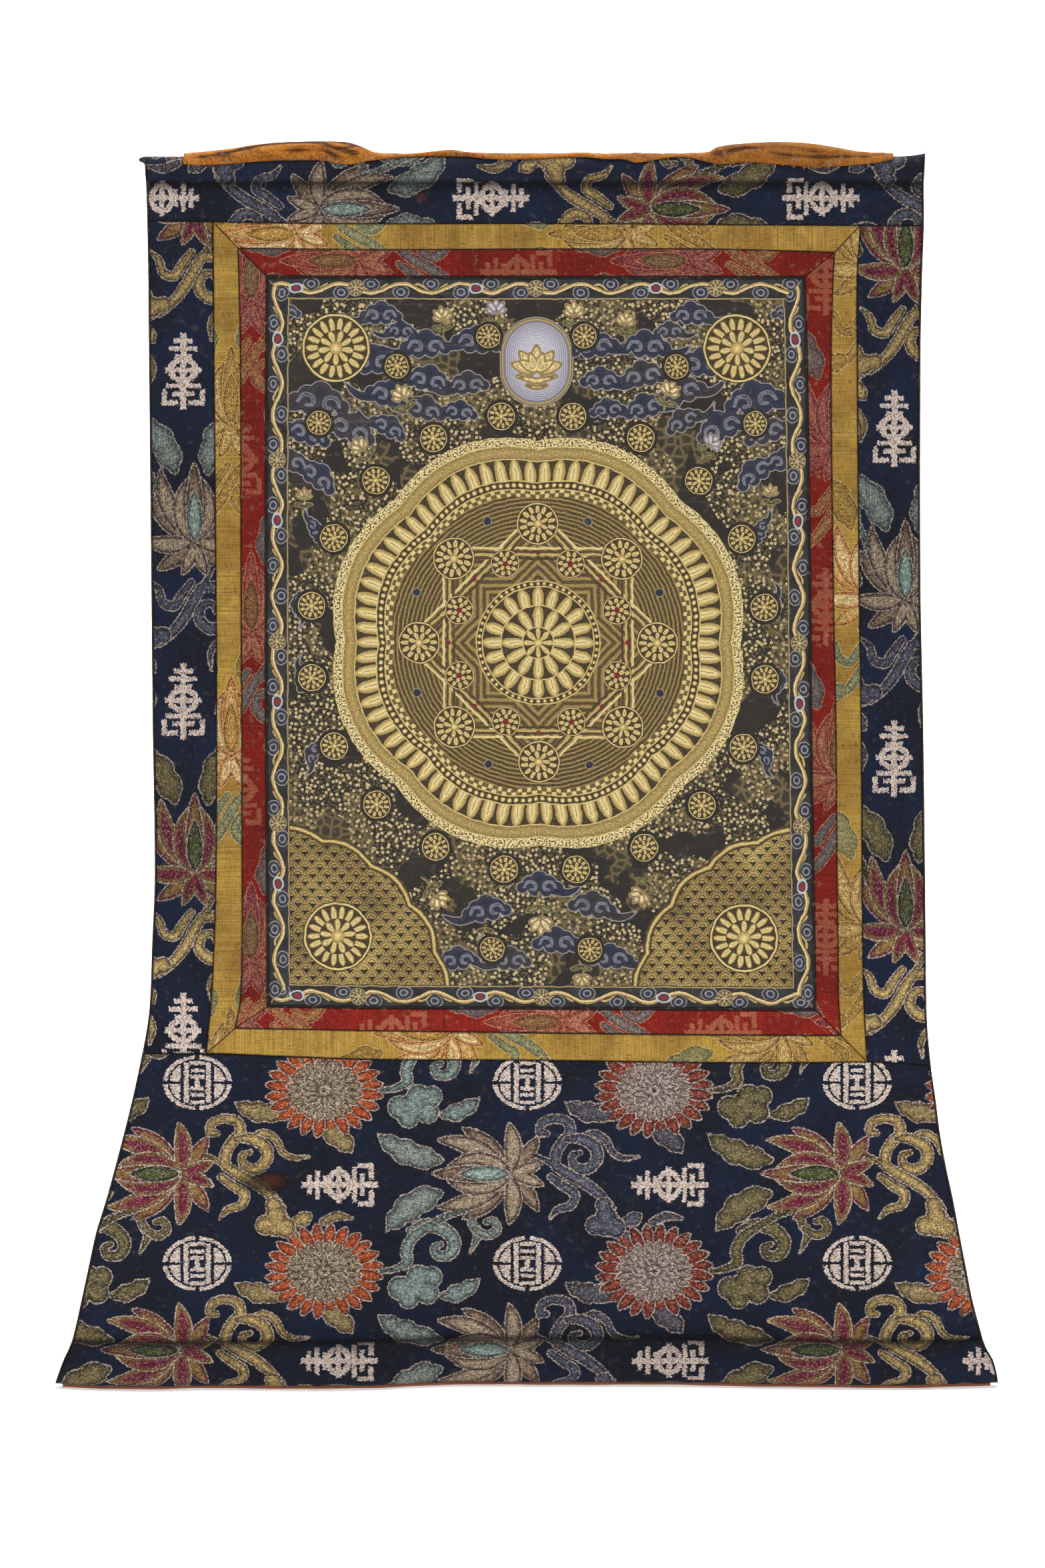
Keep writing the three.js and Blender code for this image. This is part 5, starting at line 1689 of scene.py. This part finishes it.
# Veil: silk bunched over the top hem. At each place along it: the height of its top and front lip,
# how deep the bunch is, and how low its back lip hangs
veilTable = {
    "x": [-313, -300, -272, -249, -225, -190, -178, -165, -154, -143, -130, -105, -75, -60, -30, 15,
          45, 62, 78, 90, 108, 130, 152, 163, 188, 221, 247, 270, 300, 319],
    "top": [2, 4, 7.2, 10.8, 12.8, 13.8, 13.5, 12.4, 8.8, 4, 2.6, 3.4, 6.2, 4.2, 3, 2.8, 3.8, 1.8, 2.8,
            1.6, 1.6, 3, 3.2, 8.8, 12, 13.2, 11.6, 8, 2.6, 1.6],
    "lip": [-8, -8.8, -7.7, -5.6, -4.4, -4.6, -6.8, -8.2, -6, -4.2, -2.4, -0.6, -0.4, -1, -3.6, -2,
            -1.2, -3.2, -3.4, -6.4, -3.6, -1.2, -5.6, -8, -6, -8.6, -10.6, -9.8, -7, -3.4],
    "deep": [2.2, 3, 4.2, 5.4, 6.4, 6.8, 6.6, 6, 4.6, 3, 2.4, 2.2, 2.6, 2.4, 2.4, 2.4, 2.6, 2.2, 2.4,
             2.6, 2.2, 2.4, 3.2, 4.6, 6, 6.6, 6, 4.8, 3, 2.2],
    "back": [-9, -12, -15, -16, -17, -18, -18, -17, -16, -14, -12, -10, -10, -11, -12, -11, -10, -11,
             -12, -12, -11, -12, -14, -16, -17, -18, -17, -16, -13, -9],
}
veilShape = {"gap": 0.9, "lipThick": 1.4}
# Folds along the bunch: from and to across, share over the bunch at each end, reach, and height
veilFolds = [
    (-312, -152, 0.15, 0.3, 0.04, -1.9), (-300, -170, 0.27, 0.4, 0.06, 1.2),
    (-260, -160, 0.09, 0.2, 0.04, 1.1), (-236, -158, 0.05, 0.05, 0.03, -1.2),
    (-215, -150, 0.46, 0.36, 0.04, -1.2), (226, 314, 0.12, 0.17, 0.034, -1.2),
    (154, 200, 0.12, 0.16, 0.036, -1.5), (150, 300, 0.32, 0.3, 0.07, 1.2),
    (220, 312, 0.05, 0.08, 0.03, 0.9), (156, 226, 0.06, 0.1, 0.05, 1.0),
    (-230, -160, 0.66, 0.6, 0.07, -1.2), (175, 280, 0.62, 0.66, 0.07, -1.2),
]
veilFine = [
    (-310, -170, 0.06, 0.16, 0.018, 0.5), (-280, -150, 0.26, 0.14, 0.016, -0.6),
    (-250, -152, 0.34, 0.2, 0.016, 0.5), (-235, -158, 0.47, 0.3, 0.02, 0.6),
    (-140, -40, 0.1, 0.2, 0.03, 0.5), (-110, 20, 0.26, 0.12, 0.03, -0.5),
    (-30, 100, 0.12, 0.24, 0.03, 0.5), (60, 150, 0.22, 0.1, 0.03, -0.4),
    (150, 300, 0.07, 0.2, 0.018, 0.5), (158, 270, 0.3, 0.16, 0.016, -0.6),
    (170, 312, 0.2, 0.3, 0.018, 0.5), (190, 290, 0.42, 0.36, 0.02, -0.5),
    (-300, -180, 0.1, 0.12, 0.02, -0.6), (-285, -190, 0.22, 0.2, 0.018, -0.6),
    (-250, -155, 0.3, 0.12, 0.02, -0.7), (-215, -152, 0.2, 0.08, 0.016, -0.7),
    (-200, -150, 0.38, 0.24, 0.02, -0.6), (-180, -150, 0.12, 0.3, 0.02, -0.8),
    (160, 300, 0.08, 0.13, 0.02, -0.45), (152, 230, 0.2, 0.08, 0.02, -0.6),
    (156, 210, 0.06, 0.18, 0.016, -0.6), (-140, -60, 0.3, 0.2, 0.02, -0.5),
    (20, 140, 0.34, 0.24, 0.02, -0.5),
]


# Folds over the bunch: each is a ridge of bell section that swells and fades along its run. Beside
# their height it gives a value for their painted highlight and painted shade, in which the fine ones
# count for more
def veilRidges(x, over):
    folds, marks = 0.0, 0.0
    for fromX, toX, fromOver, toOver, wide, size in veilFolds + veilFine:
        t = np.clip((x - fromX) / (toX - fromX), 0, 1)
        off = (over[None, :] - mix(fromOver, toOver, t)) / wide
        part = size * np.sin(np.pi * t) ** 0.6 * np.exp(-off * off)
        folds = folds + part
        marks = marks + part * (2.2 if wide < 0.025 else 1.0)
    return folds, marks + 0.35 * np.sin(x / 4.1 + 13 * over[None, :] + 2 * np.sin(x / 23))


def veilMaterial():
    material, tree, shader = newMaterial("veilSilk", 0.72, 0.16)
    place = objectPlace(tree)
    x, y, z = split(place)
    weave = noise(join(x * 620, y * 620, z * 620), 1.0, 3.0)
    slow = noise(join(x * 22, y * 110, z * 110), 1.0, 3.0)
    base = blend(slow.ramp(0.32, 0.68), (116, 62, 18), (186, 114, 36))
    base = blend(weave.ramp(0.44, 0.58) * 0.4, base, (212, 142, 58))
    base = blend(weave.ramp(0.46, 0.36) * 0.45, base, (92, 46, 14))
    foldShadeAndLight = attribute(tree, "foldShadeAndLight")["Fac"]
    # Painted highlight on the fold ridges and painted shade in the fold troughs
    base = blend(foldShadeAndLight.ramp(0.25, 1.1) * 0.4, base, (220, 150, 62))
    base = blend(foldShadeAndLight.ramp(-0.2, -1.2) * 0.9, base, (46, 22, 8))
    base = blend(x.ramp(0.05, 0.16) * 0.36, base, (96, 56, 24))
    base = useGroup(tree, ageing, base, place, 0.5)
    dress(tree, shader, base, weave + slow * 0.5, 0.8, 0.0004)
    return material


# Veil: its inner face follows the hem's half ellipse from the front lip over the top to the back lip;
# its outer face stands off by a sine of that way, plus the folds, and its front lip is frayed
def makeVeil():
    columns = np.linspace(veilTable["x"][0], veilTable["x"][-1], 600)
    over = np.linspace(0, 1, 44)
    row = {key: lineOf(veilTable, "x", key)(columns) for key in veilTable if key != "x"}
    rim, high = lines["top"](columns), make["topHemTall"] / 2 + veilShape["gap"]
    deepHem = make["topHemDeep"] / 2 + veilShape["gap"]
    middle = -make["topHemTall"] / 2 + rim
    lip, back = np.arccos((row["lip"] - middle) / high), np.arccos((row["back"] - middle) / high)
    angle = mix(-lip[:, None], back[:, None], over[None, :])
    z = middle[:, None] + high * np.cos(angle)
    x = np.repeat(columns[:, None], len(over), 1)
    depth = clothDepth(x, np.minimum(z, 0))
    bulge = np.sin(np.pi * over)[None, :] ** 0.7
    folds, marks = veilRidges(x, over)
    thick = veilShape["lipThick"] + (row["deep"][:, None] - veilShape["lipThick"]) * bulge + folds * bulge
    thick = thick + 0.18 * bulge * np.sin(x / 2.9 + 9 * over[None, :] + 2 * np.sin(x / 17))
    rise = np.maximum((row["top"] - rim)[:, None] - veilShape["gap"] - thick, 0)
    rise = rise * np.maximum(np.cos(angle), 0) ** 1.5
    inside = np.stack([x, depth + deepHem * np.sin(angle), z], -1)
    outside = np.stack([x, depth + (deepHem + thick) * np.sin(angle), z + thick * np.cos(angle) + rise], -1)
    torn = smoothstep(160, 185, columns) * smoothstep(275, 255, columns)
    tufts = np.sin(columns * 0.61) + 0.7 * np.sin(columns * 1.37 + 1) + 0.5 * np.sin(columns * 2.9)
    frayed = 0.35 * np.sin(columns * 1.9) + 0.3 * np.sin(columns * 0.83 + 2)
    frayed = frayed - torn * (0.6 + 1.7 * np.maximum(tufts, 0))
    for level, part in ((0, 1.0), (1, 0.6), (2, 0.25)):
        outside[:, level, 2] += frayed * part
    sections = np.concatenate([outside, inside[:, ::-1]], 1)
    # Painted fold light and shade, weaker on the inner face
    place = np.concatenate([marks, marks[:, ::-1] * 0.3], 1)
    points = np.concatenate([place.ravel(), [0.0, 0.0]])
    piece = ringMesh("veil_bunch", sections, [veilMaterial()], [("foldShadeAndLight", "FLOAT", points)])
    settle(piece, "veil")


makeVeil()
print("veil ready")

# Stage, in metres: a pale floor just under the foot that curves up far behind, white studio light and
# a camera. The floor gives some light itself, and rises to within under of the sagging foot
stage = {"floorZ": -1.0990, "near": -9.0, "far": 8.0, "curve": 2.0, "tall": 6.0, "wide": 16.0,
         "world": 0.25, "glow": 0.36, "under": 0.0003}
view = {"distance": 4.0, "x": -0.0113, "z": -0.559, "frameTall": 1.397, "sensor": 36.0}


def makeStage():
    turn = np.linspace(0, np.pi / 2, 24)
    flatRows = np.concatenate([[stage["near"]], np.linspace(-0.9, 0.9, 25)])
    curveY = stage["far"] - stage["curve"] + stage["curve"] * np.sin(turn)
    y = np.concatenate([flatRows, curveY, [stage["far"]]])
    z = np.concatenate([flatRows * 0, stage["curve"] * (1 - np.cos(turn)), [stage["tall"]]]) + stage["floorZ"]
    x = np.concatenate([[-stage["wide"] / 2], np.linspace(-0.8, 0.8, 81), [stage["wide"] / 2]])
    lift = footAt(x / mm) * mm - stage["floorZ"] - stage["under"]
    lift = lift * smoothstep(0.75, 0.45, np.abs(x))
    z = z[None, :] + lift[:, None] * np.exp(-(y / 0.3) ** 2)[None, :]
    grid = np.stack([x[:, None] * np.ones_like(y), y * np.ones((len(x), 1)), z], -1)
    index = np.arange(grid.shape[0] * grid.shape[1]).reshape(grid.shape[:2])
    material, _, shader = newMaterial("paleFloor", 0.9, 0.1)
    shader.inputs["Base Color"].default_value = (0.97, 0.97, 0.97, 1)
    shader.inputs["Emission Color"].default_value = (1, 1, 1, 1)
    shader.inputs["Emission Strength"].default_value = stage["glow"]
    floor = newMesh("floor", grid.reshape(-1, 3) / mm, gridFaces(index)[:, ::-1], [], [material])


def makeLight(name, place, target, size, power):
    light = bpy.data.lights.new(name, "AREA")
    light.shape = "DISK"
    light.size = size
    light.energy = power
    lamp = bpy.data.objects.new(name, light)
    lamp.location = place
    aim = Vector(target) - Vector(place)
    lamp.rotation_euler = aim.to_track_quat("-Z", "Y").to_euler()
    bpy.context.scene.collection.objects.link(lamp)


makeStage()
makeLight("key_light", (-1.6, -2.6, 1.9), (0, 0, -0.5), 1.2, 27)
makeLight("fill_light", (2.6, -3.2, 0.4), (0, 0, -0.6), 2.4, 8)
makeLight("overhead_light", (0, 0.2, 2.6), (0, 0, -1.1), 3.6, 148)
makeLight("backdrop_light", (0, 3.0, 1.5), (0, 8.0, 0.6), 3.0, 500)
world = bpy.data.worlds.new("studioWhite")
world.use_nodes = True
background = world.node_tree.nodes["Background"]
background.inputs["Color"].default_value = (1, 1, 1, 1)
background.inputs["Strength"].default_value = stage["world"]
bpy.context.scene.world = world
bpy.context.scene.view_settings.view_transform = "Standard"

camera = bpy.data.objects.new("camera", bpy.data.cameras.new("camera"))
bpy.context.scene.collection.objects.link(camera)
camera.location = (view["x"], -view["distance"], view["z"])
camera.rotation_euler = (np.pi / 2, 0, 0)
camera.data.sensor_width = view["sensor"]
camera.data.lens = view["sensor"] * view["distance"] / view["frameTall"]
bpy.context.scene.camera = camera
print("stage ready")
